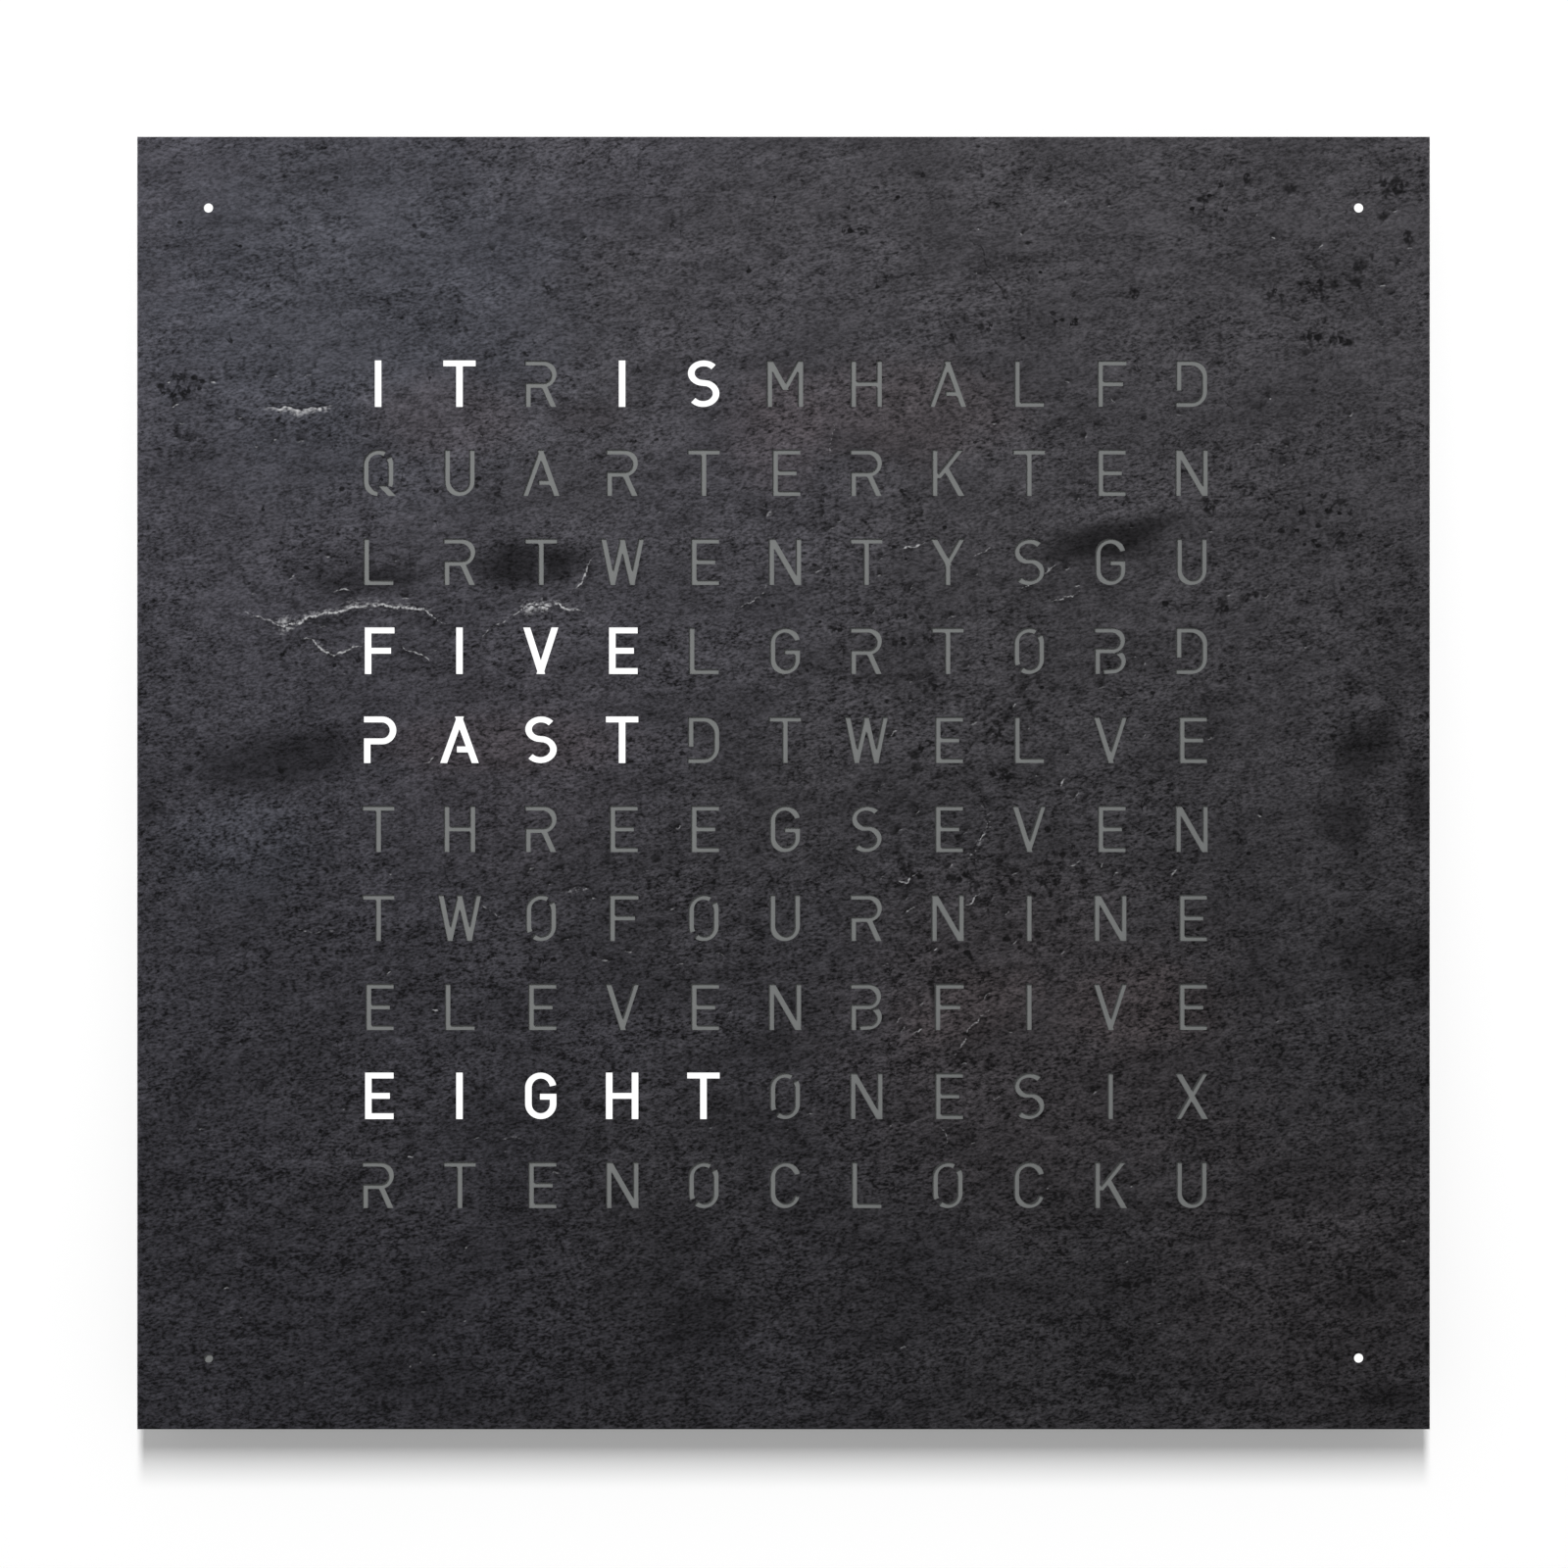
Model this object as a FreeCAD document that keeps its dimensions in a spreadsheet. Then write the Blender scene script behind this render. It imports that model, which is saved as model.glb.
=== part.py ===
"""Wall-mounted word clock: a slate-faced cover on magnets, a moulded housing with an LED letter matrix
behind a light grid, and a two-piece hook bracket.

Frame: +X to the right and +Z up as the clock is read. The wall is the plane Y = 0, and the clock stands out
of it towards -Y. The origin is the centre of the four wall screws, behind the centre of the clock. "Depth"
below is the distance from the wall, so a depth d is the plane Y = -d. All sizes are in millimetres.
"""

import FreeCAD, Part
import math
import os
import re

import Sketcher
from FreeCAD import Vector

# Driving dimensions: alias, size, what it is.
DIMENSIONS = (
    ("cover_side", 450.0, "front cover, edge to edge"),
    ("cover_overhang", 6.0, "cover edge beyond the housing wall"),
    ("stone_thick", 1.0, "slate veneer"),
    ("stone_bevel", 0.25, "broken edge round the front of the slate"),
    ("diffuser_thick", 1.0, "translucent backing behind the slate"),
    ("carrier_thick", 1.0, "steel plate that the magnets hold"),
    ("carrier_inset", 0.5, "carrier edge inside the slate edge"),
    ("letter_columns", 11, "letters in a row"),
    ("letter_rows", 10, "rows of letters"),
    ("column_pitch", 28.4, "letter to letter along a row"),
    ("row_pitch", 31.0, "row to row"),
    ("window_wide", 22.0, "carrier window behind a letter, across"),
    ("window_tall", 24.0, "carrier window behind a letter, upright"),
    ("minute_inset", 24.75, "minute light from each cover edge"),
    ("minute_hole", 3.2, "minute light hole in the slate, diameter"),
    ("minute_window", 6.0, "minute light window in the carrier"),
    ("lug_long", 14.0, "locating lug along the cover's side"),
    ("lug_thick", 4.0, "locating lug, thick"),
    ("lug_reach", 6.0, "locating lug behind the carrier"),
    ("lug_taper", 0.8, "chamfer round the lug's end"),
    ("lug_clearance", 0.2, "lug to its socket, each side"),
    ("lug_deeper", 0.5, "socket beyond the lug's end"),
    ("wall_gap", 5.0, "wall to the back of the housing"),
    ("housing_depth", 17.0, "housing, back to rim"),
    ("wall_thick", 2.0, "housing side wall"),
    ("floor_thick", 2.0, "housing back wall"),
    ("housing_corner", 4.0, "outer corner radius"),
    ("inner_corner", 2.0, "inner corner radius"),
    ("back_bevel", 1.0, "bevel round the back of the housing"),
    ("magnet_long", 20.0, "holding magnet along the cover's side"),
    ("magnet_wide", 8.0, "holding magnet across"),
    ("magnet_thick", 3.0, "holding magnet"),
    ("magnet_recess", 0.1, "magnet below the rim"),
    ("magnet_clearance", 0.1, "magnet to its pocket, each side"),
    ("magnet_offset", 120.0, "magnet centre along each side, from its middle"),
    ("block_wall", 1.8, "wall of a rim block round its pocket"),
    ("boss_wall", 1.9, "wall of a screw boss round its hole"),
    ("rib_thick", 2.0, "ribs under and beside the boards"),
    ("rib_pitch", 3.0, "rib to rib, in columns"),
    ("comb_rise", 3.5, "comb rib above the row boards"),
    ("comb_clearance", 0.2, "row board to its slot in the comb, each side"),
    ("board_standoff", 2.0, "board above the housing floor"),
    ("board_thick", 1.2, "row and minute boards"),
    ("board_tall", 14.0, "row board, upright"),
    ("board_end", 5.0, "row board beyond its right comb"),
    ("stop_clearance", 0.2, "row board to the stop ribs at its ends"),
    ("connector_reach", 10.0, "left comb to the connector"),
    ("connector_end", 7.0, "row board beyond its connector's centre"),
    ("connector_wide", 8.0, "row connector across"),
    ("connector_long", 9.0, "row connector upright"),
    ("connector_tall", 3.0, "row connector above the board"),
    ("ribbon_wide", 8.0, "bus ribbon across"),
    ("ribbon_thick", 0.8, "bus ribbon"),
    ("ribbon_end", 6.0, "bus ribbon beyond the top row"),
    ("clip_wide", 6.0, "snap clip across"),
    ("clip_thick", 1.6, "snap clip's stem"),
    ("clip_lip", 1.2, "snap clip's lip over what it holds"),
    ("clip_head", 1.4, "snap clip's lip, thick"),
    ("clip_clearance", 0.15, "snap clip to what it holds"),
    ("led_side", 5.0, "LED package"),
    ("led_tall", 1.6, "LED package above its board"),
    ("grid_wall", 1.6, "light grid wall"),
    ("grid_clearance", 0.3, "light grid to the boards, the combs and the cover"),
    ("ear_columns", 4.0, "outer grid ear from the middle, in columns"),
    ("ear_wide", 12.0, "grid ear across"),
    ("ear_long", 4.0, "grid ear beyond the grid"),
    ("ear_thick", 2.5, "grid ear"),
    ("minute_board", 20.0, "minute board side"),
    ("shaft_bore", 7.6, "minute light shaft, inside"),
    ("shaft_wall", 1.2, "minute light shaft wall"),
    ("foot_thick", 1.5, "foot of a minute light shaft, thick"),
    ("lead_wide", 2.4, "minute light lead across"),
    ("lead_thick", 1.4, "minute light lead"),
    ("lead_bend", 8.0, "minute light lead, bend radius"),
    ("lead_clearance", 0.1, "lead above the housing floor"),
    ("lead_inset", 5.0, "lead's start from the minute light, towards the middle"),
    ("lead_beside", 4.0, "upper lead above the lower minute boards"),
    ("lead_gap", 0.6, "lower lead to the controller's lower clips"),
    ("lead_tuck", 6.0, "lead's end under the controller"),
    ("controller_long", 150.0, "controller board"),
    ("controller_tall", 32.0, "controller board"),
    ("controller_thick", 1.6, "controller board"),
    ("controller_rib", 50.0, "rib under the controller from its middle"),
    ("button_wide", 9.0, "setting button across"),
    ("button_thick", 4.5, "setting button, front to back"),
    ("button_proud", 1.2, "button beyond the housing"),
    ("button_travel", 0.8, "button's travel"),
    ("button_bevel", 0.5, "bevel round the button's end"),
    ("button_clearance", 0.2, "button to its hole, each side"),
    ("flange_lip", 1.0, "collar that keeps the button in, beyond the button"),
    ("flange_thick", 1.0, "collar that keeps the button in, thick"),
    ("flange_gap", 0.1, "collar to the housing wall"),
    ("button_inner", 33.0, "inner pair of buttons from the middle"),
    ("button_outer", 50.0, "outer pair of buttons from the middle"),
    ("plunger_side", 2.6, "switch plunger"),
    ("plunger_reach", 2.4, "plunger outside its switch"),
    ("plunger_seat", 1.0, "plunger inside its switch"),
    ("plunger_clearance", 0.1, "plunger to its switch, each side and at its end"),
    ("switch_wide", 6.0, "button switch across"),
    ("switch_tall", 7.0, "button switch above its board"),
    ("switch_long", 4.5, "button switch along the plunger"),
    ("inlet_wide", 9.0, "power inlet across"),
    ("inlet_tall", 10.0, "power inlet above its board"),
    ("inlet_long", 13.5, "power inlet, behind its nose"),
    ("inlet_wall", 1.2, "power inlet's nose round its socket"),
    ("inlet_bore", 5.6, "power inlet's socket, diameter"),
    ("inlet_depth", 9.5, "power inlet's socket, deep"),
    ("inlet_pin", 2.0, "power inlet's centre pin, diameter"),
    ("inlet_pin_short", 1.5, "centre pin below the mouth"),
    ("nose_clearance", 0.3, "inlet and sensor to their holes, each side"),
    ("sensor_at", 17.0, "light sensor from the middle"),
    ("sensor_nose", 3.0, "light sensor's window"),
    ("sensor_side", 4.6, "light sensor's body"),
    ("sensor_axis", 3.0, "light sensor's window above its board"),
    ("vent_pitch", 14.0, "vent slot to vent slot"),
    ("vent_count", 9, "vent slots in a row"),
    ("vent_wide", 3.0, "vent slot"),
    ("vent_tall", 12.0, "vent slot"),
    ("vent_gap", 10.0, "light grid side to the vent slots"),
    ("sheet_thick", 1.5, "bracket and hanger sheet"),
    ("bracket_long", 240.0, "wall bracket"),
    ("bracket_base", 25.0, "bracket base, up and down from the middle"),
    ("bracket_corner", 3.0, "bracket and hanger, cut corners"),
    ("hook_clearance", 0.25, "hook to hook and hook to wall"),
    ("hook_seat", 0.3, "hanger hook above the bracket's bend"),
    ("hook_long", 12.0, "bracket hook above its bend"),
    ("bend_rise", 4.0, "bracket's step"),
    ("hanger_rise", 7.0, "hanger's step"),
    ("hanger_spare", 1.5, "hanger's step above the bracket's hook"),
    ("hanger_long", 230.0, "hanger plate"),
    ("hanger_flange", 28.0, "hanger plate on the housing"),
    ("hanger_screw_count", 3, "hanger screws"),
    ("hanger_screw_pitch", 95.0, "hanger screw to hanger screw"),
    ("hanger_screw_up", 14.0, "hanger screws above the step"),
    ("hanger_screw", 3.0, "hanger screw shank"),
    ("hanger_screw_long", 3.2, "hanger screw shank in the housing"),
    ("hanger_head", 5.5, "hanger screw head across its flats"),
    ("hanger_head_tall", 1.8, "hanger screw head"),
    ("hole_clearance", 0.1, "hanger screw to its hole, on radius"),
    ("thread_clearance", 0.03, "hanger screw to its pilot hole, on radius"),
    ("pilot_deeper", 0.4, "pilot hole beyond the screw's end"),
    ("wall_screw_hole", 5.5, "wall screw hole, diameter"),
    ("wall_screw_x", 180.0, "wall screws, side to side"),
    ("wall_screw_z", 30.0, "wall screws, up and down"),
    ("bumper_side", 12.0, "wall bumper"),
    ("bumper_inset", 24.0, "wall bumper from the housing's outer face"),
    ("capacitor_diameter", 6.3, "capacitor can"),
    ("capacitor_high", 5.4, "capacitor can above the board"),
    ("header_across", -62.0, "ribbon header, right of the controller's middle"),
    ("header_up", 20.0, "ribbon header above the controller's lower edge"),
    ("header_wide", 6.0, "ribbon header across"),
    ("header_tall", 12.0, "ribbon header upright"),
    ("cell_across", 31.0, "coin cell, right of the controller's middle"),
    ("cell_up", 19.5, "coin cell above the controller's lower edge"),
    ("cell_diameter", 20.0, "coin cell"),
    ("cell_thick", 3.2, "coin cell"),
    ("cell_clearance", 0.25, "coin cell to its holder, on radius"),
    ("holder_wall", 1.05, "holder beside the cell"),
    ("holder_base", 1.0, "holder under the cell"),
    ("holder_rim", 3.6, "holder round the cell, above its base"),
)

# Names that stand for a sum of driving dimensions, so that pieces which meet share one expression.
DERIVED = {
    "housing_half": "(cover_side / 2 - cover_overhang)",
    "inner_half": "(housing_half - wall_thick)",
    "floor_front": "(wall_gap + floor_thick)",
    "housing_front": "(wall_gap + housing_depth)",
    "carrier_front": "(housing_front + carrier_thick)",
    "stone_back": "(carrier_front + diffuser_thick)",
    "board_back": "(floor_front + board_standoff)",
    "board_front": "(board_back + board_thick)",
    "controller_front": "(board_back + controller_thick)",
    "grid_back": "(board_front + grid_clearance)",
    "grid_tall": "(housing_front - grid_clearance - grid_back)",
    "columns_wide": "((letter_columns - 1) * column_pitch)",
    "rows_tall": "((letter_rows - 1) * row_pitch)",
    "grid_half_wide": "((letter_columns * column_pitch + grid_wall) / 2)",
    "grid_half_tall": "((letter_rows * row_pitch + grid_wall) / 2)",
    "comb_x": "(grid_half_wide + grid_clearance + rib_thick / 2)",
    "board_left": "(comb_x + connector_reach + connector_end)",
    "board_right": "(comb_x + board_end)",
    "ribbon_x": "(comb_x + connector_reach)",
    "ribbon_back": "(board_front + connector_tall)",
    "ear_x": "(ear_columns * column_pitch)",
    "ear_end": "(grid_half_tall + ear_long)",
    "minute_at": "(cover_side / 2 - minute_inset)",
    "foot_front": "(board_front + foot_thick)",
    "upper_lead": "(minute_at - minute_board / 2 - lead_beside)",
    "magnet_block": "(magnet_wide + 2 * magnet_clearance + block_wall)",
    "magnet_at": "(inner_half - magnet_clearance - magnet_wide / 2)",
    "lug_block": "(lug_thick + 2 * lug_clearance + block_wall)",
    "lug_at": "(inner_half - lug_clearance - lug_thick / 2)",
    "bumper_at": "(housing_half - bumper_inset)",
    "hanger_hole": "(hanger_screw + 2 * hole_clearance)",
    "hanger_pilot": "(hanger_screw + 2 * thread_clearance)",
    "switch_face": "(inner_half - flange_gap - flange_thick - plunger_reach)",
    "button_depth": "(controller_front + switch_tall / 2)",
    "inlet_axis": "(controller_front + inlet_tall / 2)",
    "inlet_nose": "(inlet_bore + 2 * inlet_wall)",
    "sensor_depth": "(controller_front + sensor_axis)",
    "vent_z": "(grid_half_tall + vent_gap + vent_tall / 2)",
    "bracket_step": "(sheet_thick + 2 * hook_clearance)",
    "hook_top": "(bracket_base + hook_long)",
    "hanger_bend": "(hook_top + hanger_spare)",
    "hanger_flat": "(hanger_bend + hanger_rise)",
    "hanger_screw_z": "(hanger_flat + hanger_screw_up)",
    "hanger_screws_wide": "((hanger_screw_count - 1) * hanger_screw_pitch)",
}

# Chips and cans on the controller board: right of its middle, above its lower edge, across, upright and
# above the board. A capacitor's last three sizes are above.
CHIPS = {
    "processor": (-22.0, 19.5, 12.0, 12.0, 1.4),
    "upper_driver": (-44.0, 25.0, 15.4, 7.5, 2.3),
    "lower_driver": (-44.0, 13.5, 15.4, 7.5, 2.3),
    "regulator": (52.0, 22.0, 6.6, 9.0, 2.3),
    "crystal": (-8.0, 25.0, 4.6, 11.0, 3.4),
}
CHIP_SIZES = ("across", "up", "wide", "tall", "high")
CAPACITORS = {"left_capacitor": (4.0, 26.0), "right_capacitor": (12.5, 22.0)}

BUTTONS = (("hour_button", "-button_outer"), ("minute_button", "-button_inner"),
           ("brightness_button", "button_inner"), ("mode_button", "button_outer"))
CORNERS = (("top_left", "-", ""), ("top_right", "", ""), ("bottom_left", "-", "-"), ("bottom_right", "", "-"))
SIDES = ("-", "")
SHEET = "Dimensions"
WORD = re.compile(r"[a-z][a-z0-9_]*")
TOUCH = 0.001

doc = FreeCAD.newDocument("WordClock")
nodes = {}


# ---------------------------------------------------------------- sheet, expressions and sketches

def make_sheet():
    """The spreadsheet of driving dimensions."""
    rows = list(DIMENSIONS)
    for name, numbers in [*CHIPS.items(), *CAPACITORS.items()]:
        for word, number in zip(CHIP_SIZES, numbers):
            rows.append((f"{name}_{word}", number, f"{name.replace('_', ' ')} on the controller"))
    table = doc.addObject("Spreadsheet::Sheet", SHEET)
    for row, (alias, number, meaning) in enumerate(rows, start=1):
        table.set(f"A{row}", meaning)
        table.set(f"B{row}", str(number))
        table.setAlias(f"B{row}", alias)
    doc.recompute()
    return table


def formula(text):
    """An expression on the sheet's cells, from one that uses the names above."""
    text = str(text)
    while any(word in DERIVED for word in WORD.findall(text)):
        text = WORD.sub(lambda found: DERIVED.get(found.group(), found.group()), text)
    return WORD.sub(lambda found: f"{SHEET}.{found.group()}" if found.group() != "sqrt" else "sqrt", text)


def value(expression):
    """An expression's number at the sheet's present sizes."""
    return float(sheet.evalExpression(formula(expression)))


def new_body(name):
    """A body that becomes the node of that name."""
    body = doc.addObject("PartDesign::Body", name)
    body.Label = name
    nodes[name] = body
    return body


def new_sketch(body, plane, offset):
    """A sketch on one of the body's own planes, moved out along the plane's normal. On XZ that is a depth."""
    sketch = body.newObject("Sketcher::SketchObject", f"{body.Name}_sketch")
    support = next(f for f in body.Origin.OriginFeatures if f.Role == plane)
    sketch.AttachmentSupport = [(support, "")]
    sketch.MapMode = "FlatFace"
    sketch.setExpression("AttachmentOffset.Base.z", formula(offset))
    return sketch


def hold(sketch, kind, where, expression):
    """One dimension of a sketch, tied to an expression."""
    index = sketch.addConstraint(Sketcher.Constraint(kind, *where, value(expression)))
    sketch.setExpression(f"Constraints[{index}]", formula(expression))


def hold_point(sketch, geometry, point, x, y):
    """Places a point of the sketch from its origin."""
    hold(sketch, "DistanceX", (-1, 1, geometry, point), x)
    hold(sketch, "DistanceY", (-1, 1, geometry, point), y)


def spot(x, y):
    """A point of a sketch's plane."""
    return Vector(value(x), value(y), 0)


def draw_polygon(sketch, corners):
    """A closed outline of straight sides."""
    first = sketch.GeometryCount
    spots = [spot(x, y) for x, y in corners]
    following = [*range(1, len(corners)), 0]
    for start, end in enumerate(following):
        sketch.addGeometry(Part.LineSegment(spots[start], spots[end]), False)
    for start, end in enumerate(following):
        sketch.addConstraint(Sketcher.Constraint("Coincident", first + start, 2, first + end, 1))
    for number, (x, y) in enumerate(corners):
        hold_point(sketch, first + number, 1, x, y)


def draw_box(sketch, x, y, wide, tall):
    """A rectangle about a centre."""
    left, right = f"{x} - ({wide}) / 2", f"{x} + ({wide}) / 2"
    low, high = f"{y} - ({tall}) / 2", f"{y} + ({tall}) / 2"
    draw_polygon(sketch, ((left, low), (right, low), (right, high), (left, high)))


def draw_circle(sketch, x, y, diameter):
    """A circle about a centre."""
    ring = Part.Circle(spot(x, y), Vector(0, 0, 1), value(diameter) / 2)
    geometry = sketch.addGeometry(ring, False)
    hold_point(sketch, geometry, 3, x, y)
    hold(sketch, "Diameter", (geometry,), diameter)


def draw_slot(sketch, x, y, wide, tall):
    """An upright slot with round ends, about a centre."""
    first = sketch.GeometryCount
    half = f"(({tall}) - ({wide})) / 2"
    high, low = f"{y} + {half}", f"{y} - {half}"
    left, right = f"{x} - ({wide}) / 2", f"{x} + ({wide}) / 2"
    for level, turn in ((high, 0), (low, math.pi)):
        ring = Part.Circle(spot(x, level), Vector(0, 0, 1), value(wide) / 2)
        sketch.addGeometry(Part.ArcOfCircle(ring, turn, turn + math.pi), False)
    sketch.addGeometry(Part.LineSegment(spot(left, high), spot(left, low)), False)
    sketch.addGeometry(Part.LineSegment(spot(right, low), spot(right, high)), False)
    for one, other in (((0, 2), (2, 1)), ((2, 2), (1, 1)), ((1, 2), (3, 1)), ((3, 2), (0, 1))):
        joint = (first + one[0], one[1], first + other[0], other[1])
        sketch.addConstraint(Sketcher.Constraint("Coincident", *joint))
    hold_point(sketch, first, 3, x, high)
    hold_point(sketch, first + 1, 3, x, low)
    hold_point(sketch, first, 1, right, high)
    hold_point(sketch, first + 1, 1, left, low)
    hold(sketch, "DistanceY", (-1, 1, first, 2), high)
    hold(sketch, "DistanceY", (-1, 1, first + 1, 2), low)


# ---------------------------------------------------------------- features

def add_pad(body, sketch, length, both_ways=False, backwards=False):
    """Material from the sketch, outwards along its plane's normal."""
    pad = body.newObject("PartDesign::Pad", f"{body.Name}_pad")
    pad.Profile = sketch
    pad.Midplane = both_ways
    pad.Reversed = backwards
    pad.setExpression("Length", formula(length))
    return pad


def add_pocket(body, sketch, length=None, backwards=False):
    """A cut from the sketch, against its plane's normal, or right through where no length is given."""
    pocket = body.newObject("PartDesign::Pocket", f"{body.Name}_pocket")
    pocket.Profile = sketch
    pocket.Reversed = backwards
    if length is None:
        pocket.Type = "ThroughAll"
        pocket.Midplane = True
    else:
        pocket.setExpression("Length", formula(length))
    return pocket


def repeat(body, features, sketch, wide=None, across=2, tall=None, up=2):
    """Copies features in a row, a column or both. wide and tall are from the first copy to the last."""
    pattern = body.newObject("PartDesign::LinearPattern", f"{body.Name}_pattern")
    pattern.Originals = features
    axis, length, count = ("H_Axis", wide, across) if wide else ("V_Axis", tall, up)
    pattern.Direction = (sketch, [axis])
    pattern.setExpression("Length", formula(length))
    pattern.setExpression("Occurrences", formula(count))
    if wide and tall:
        pattern.Direction2 = (sketch, ["V_Axis"])
        pattern.setExpression("Length2", formula(tall))
        pattern.setExpression("Occurrences2", formula(up))
    body.Tip = pattern
    return pattern


def dress(body, kind, wanted, amount):
    """Fillets or chamfers the tip's edges that a test picks."""
    doc.recompute()
    tip = body.Tip
    picked = [f"Edge{k}" for k, edge in enumerate(tip.Shape.Edges, start=1) if wanted(edge)]
    feature = body.newObject(f"PartDesign::{kind}", f"{body.Name}_{kind.lower()}")
    feature.Base = (tip, picked)
    feature.setExpression("Radius" if kind == "Fillet" else "Size", formula(amount))
    return feature


def straight_along(direction):
    """A test for straight edges along a direction."""
    def test(edge):
        if not isinstance(edge.Curve, Part.Line):
            return False
        return abs(edge.tangentAt(edge.FirstParameter).dot(direction)) > 0.999
    return test


def lies_at(depth):
    """A test for edges that lie in the plane at a depth."""
    level = -value(depth)

    def test(edge):
        box = edge.BoundBox
        return abs(box.YMin - level) < TOUCH and abs(box.YMax - level) < TOUCH
    return test


def lies_below(distance):
    """A test for edges that lie level, at a distance under the middle."""
    level = -value(distance)
    return lambda edge: abs(edge.BoundBox.ZMax - level) < TOUCH


# ---------------------------------------------------------------- cover

def make_stone_face():
    """Square sheet of cleft slate with the four minute light holes."""
    body = new_body("stone_face")
    outline = new_sketch(body, "XZ_Plane", "stone_back")
    draw_box(outline, "0", "0", "cover_side", "cover_side")
    add_pad(body, outline, "stone_thick")
    dress(body, "Chamfer", lies_at("stone_back + stone_thick"), "stone_bevel")
    holes = new_sketch(body, "XZ_Plane", "stone_back")
    for _, left, low in CORNERS:
        draw_circle(holes, f"{left}minute_at", f"{low}minute_at", "minute_hole")
    add_pocket(body, holes)


def make_diffuser_sheet():
    """Translucent sheet bonded behind the slate."""
    body = new_body("diffuser_sheet")
    outline = new_sketch(body, "XZ_Plane", "carrier_front")
    draw_box(outline, "0", "0", "cover_side", "cover_side")
    add_pad(body, outline, "diffuser_thick")


def make_carrier_plate():
    """Steel plate with a window behind every letter and minute light."""
    body = new_body("carrier_plate")
    outline = new_sketch(body, "XZ_Plane", "housing_front")
    draw_box(outline, "0", "0", "cover_side - 2 * carrier_inset", "cover_side - 2 * carrier_inset")
    add_pad(body, outline, "carrier_thick")
    corners = new_sketch(body, "XZ_Plane", "housing_front")
    for _, left, low in CORNERS:
        draw_box(corners, f"{left}minute_at", f"{low}minute_at", "minute_window", "minute_window")
    add_pocket(body, corners)
    window = new_sketch(body, "XZ_Plane", "housing_front")
    draw_box(window, "-columns_wide / 2", "-rows_tall / 2", "window_wide", "window_tall")
    cut = add_pocket(body, window)
    repeat(body, [cut], window, "columns_wide", "letter_columns", "rows_tall", "letter_rows")


def make_locating_lugs():
    """Two lugs bonded behind the carrier, which find their sockets inside the housing's side walls."""
    body = new_body("locating_lugs")
    outline = new_sketch(body, "XZ_Plane", "housing_front - lug_reach")
    for left in SIDES:
        draw_box(outline, f"{left}lug_at", "0", "lug_thick", "lug_long")
    add_pad(body, outline, "lug_reach")
    dress(body, "Chamfer", lies_at("housing_front - lug_reach"), "lug_taper")


# ---------------------------------------------------------------- housing

def make_rear_housing():
    """Moulded tray with ribs, combs, clips and magnet blocks, and openings for air and controls."""
    body = new_body("rear_housing")
    outline = new_sketch(body, "XZ_Plane", "wall_gap")
    draw_box(outline, "0", "0", "2 * housing_half", "2 * housing_half")
    add_pad(body, outline, "housing_depth")
    dress(body, "Fillet", straight_along(Vector(0, 1, 0)), "housing_corner")
    dress(body, "Chamfer", lies_at("wall_gap"), "back_bevel")
    hollow = new_sketch(body, "XZ_Plane", "housing_front")
    draw_box(hollow, "0", "0", "2 * inner_half", "2 * inner_half")
    add_pocket(body, hollow, "housing_depth - floor_thick")
    inside = value("inner_half")

    def inner_upright(edge):
        middle = edge.BoundBox.Center
        at_corner = abs(abs(middle.x) - inside) < TOUCH and abs(abs(middle.z) - inside) < TOUCH
        return at_corner and straight_along(Vector(0, 1, 0))(edge)

    dress(body, "Fillet", inner_upright, "inner_corner")
    add_vents(body)
    add_edge_holes(body)
    add_rim_blocks(body)
    add_board_seats(body)
    add_clips(body)
    add_hanger_bosses(body)


def rim_boxes(sketch, magnet_side, lug_side):
    """A rectangle for each magnet and lug against the inner walls. Both take the size across and along."""
    for first in SIDES:
        across, along = magnet_side
        middle = f"{first}(inner_half - ({across}) / 2)"
        for second in SIDES:
            draw_box(sketch, middle, f"{second}magnet_offset", across, along)
            draw_box(sketch, f"{second}magnet_offset", middle, along, across)
        across, along = lug_side
        draw_box(sketch, f"{first}(inner_half - ({across}) / 2)", "0", across, along)


def add_rim_blocks(body):
    """Blocks inside the walls, as deep as the rim, with the magnet pockets and lug sockets in them."""
    magnet_hole = "magnet_wide + 2 * magnet_clearance", "magnet_long + 2 * magnet_clearance"
    lug_hole = "lug_thick + 2 * lug_clearance", "lug_long + 2 * lug_clearance"
    blocks = new_sketch(body, "XZ_Plane", "floor_front")
    rim_boxes(blocks, ("magnet_block", f"{magnet_hole[1]} + 2 * block_wall"),
              ("lug_block", f"{lug_hole[1]} + 2 * block_wall"))
    add_pad(body, blocks, "housing_depth - floor_thick")
    pockets = new_sketch(body, "XZ_Plane", "housing_front")
    sockets = new_sketch(body, "XZ_Plane", "housing_front")
    for first in SIDES:
        for second in SIDES:
            draw_box(pockets, f"{first}magnet_at", f"{second}magnet_offset", *magnet_hole)
            draw_box(pockets, f"{second}magnet_offset", f"{first}magnet_at", *reversed(magnet_hole))
        draw_box(sockets, f"{first}lug_at", "0", *lug_hole)
    add_pocket(body, pockets, "magnet_thick + magnet_recess")
    add_pocket(body, sockets, "lug_reach + lug_deeper")


def row_height(row):
    """How far above the middle a row's board and letters are, counted down from 0."""
    return f"(rows_tall / 2 - {row} * row_pitch)"


def row_numbers():
    """The rows of letters, counted down from 0."""
    return range(round(value("letter_rows")))


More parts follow.
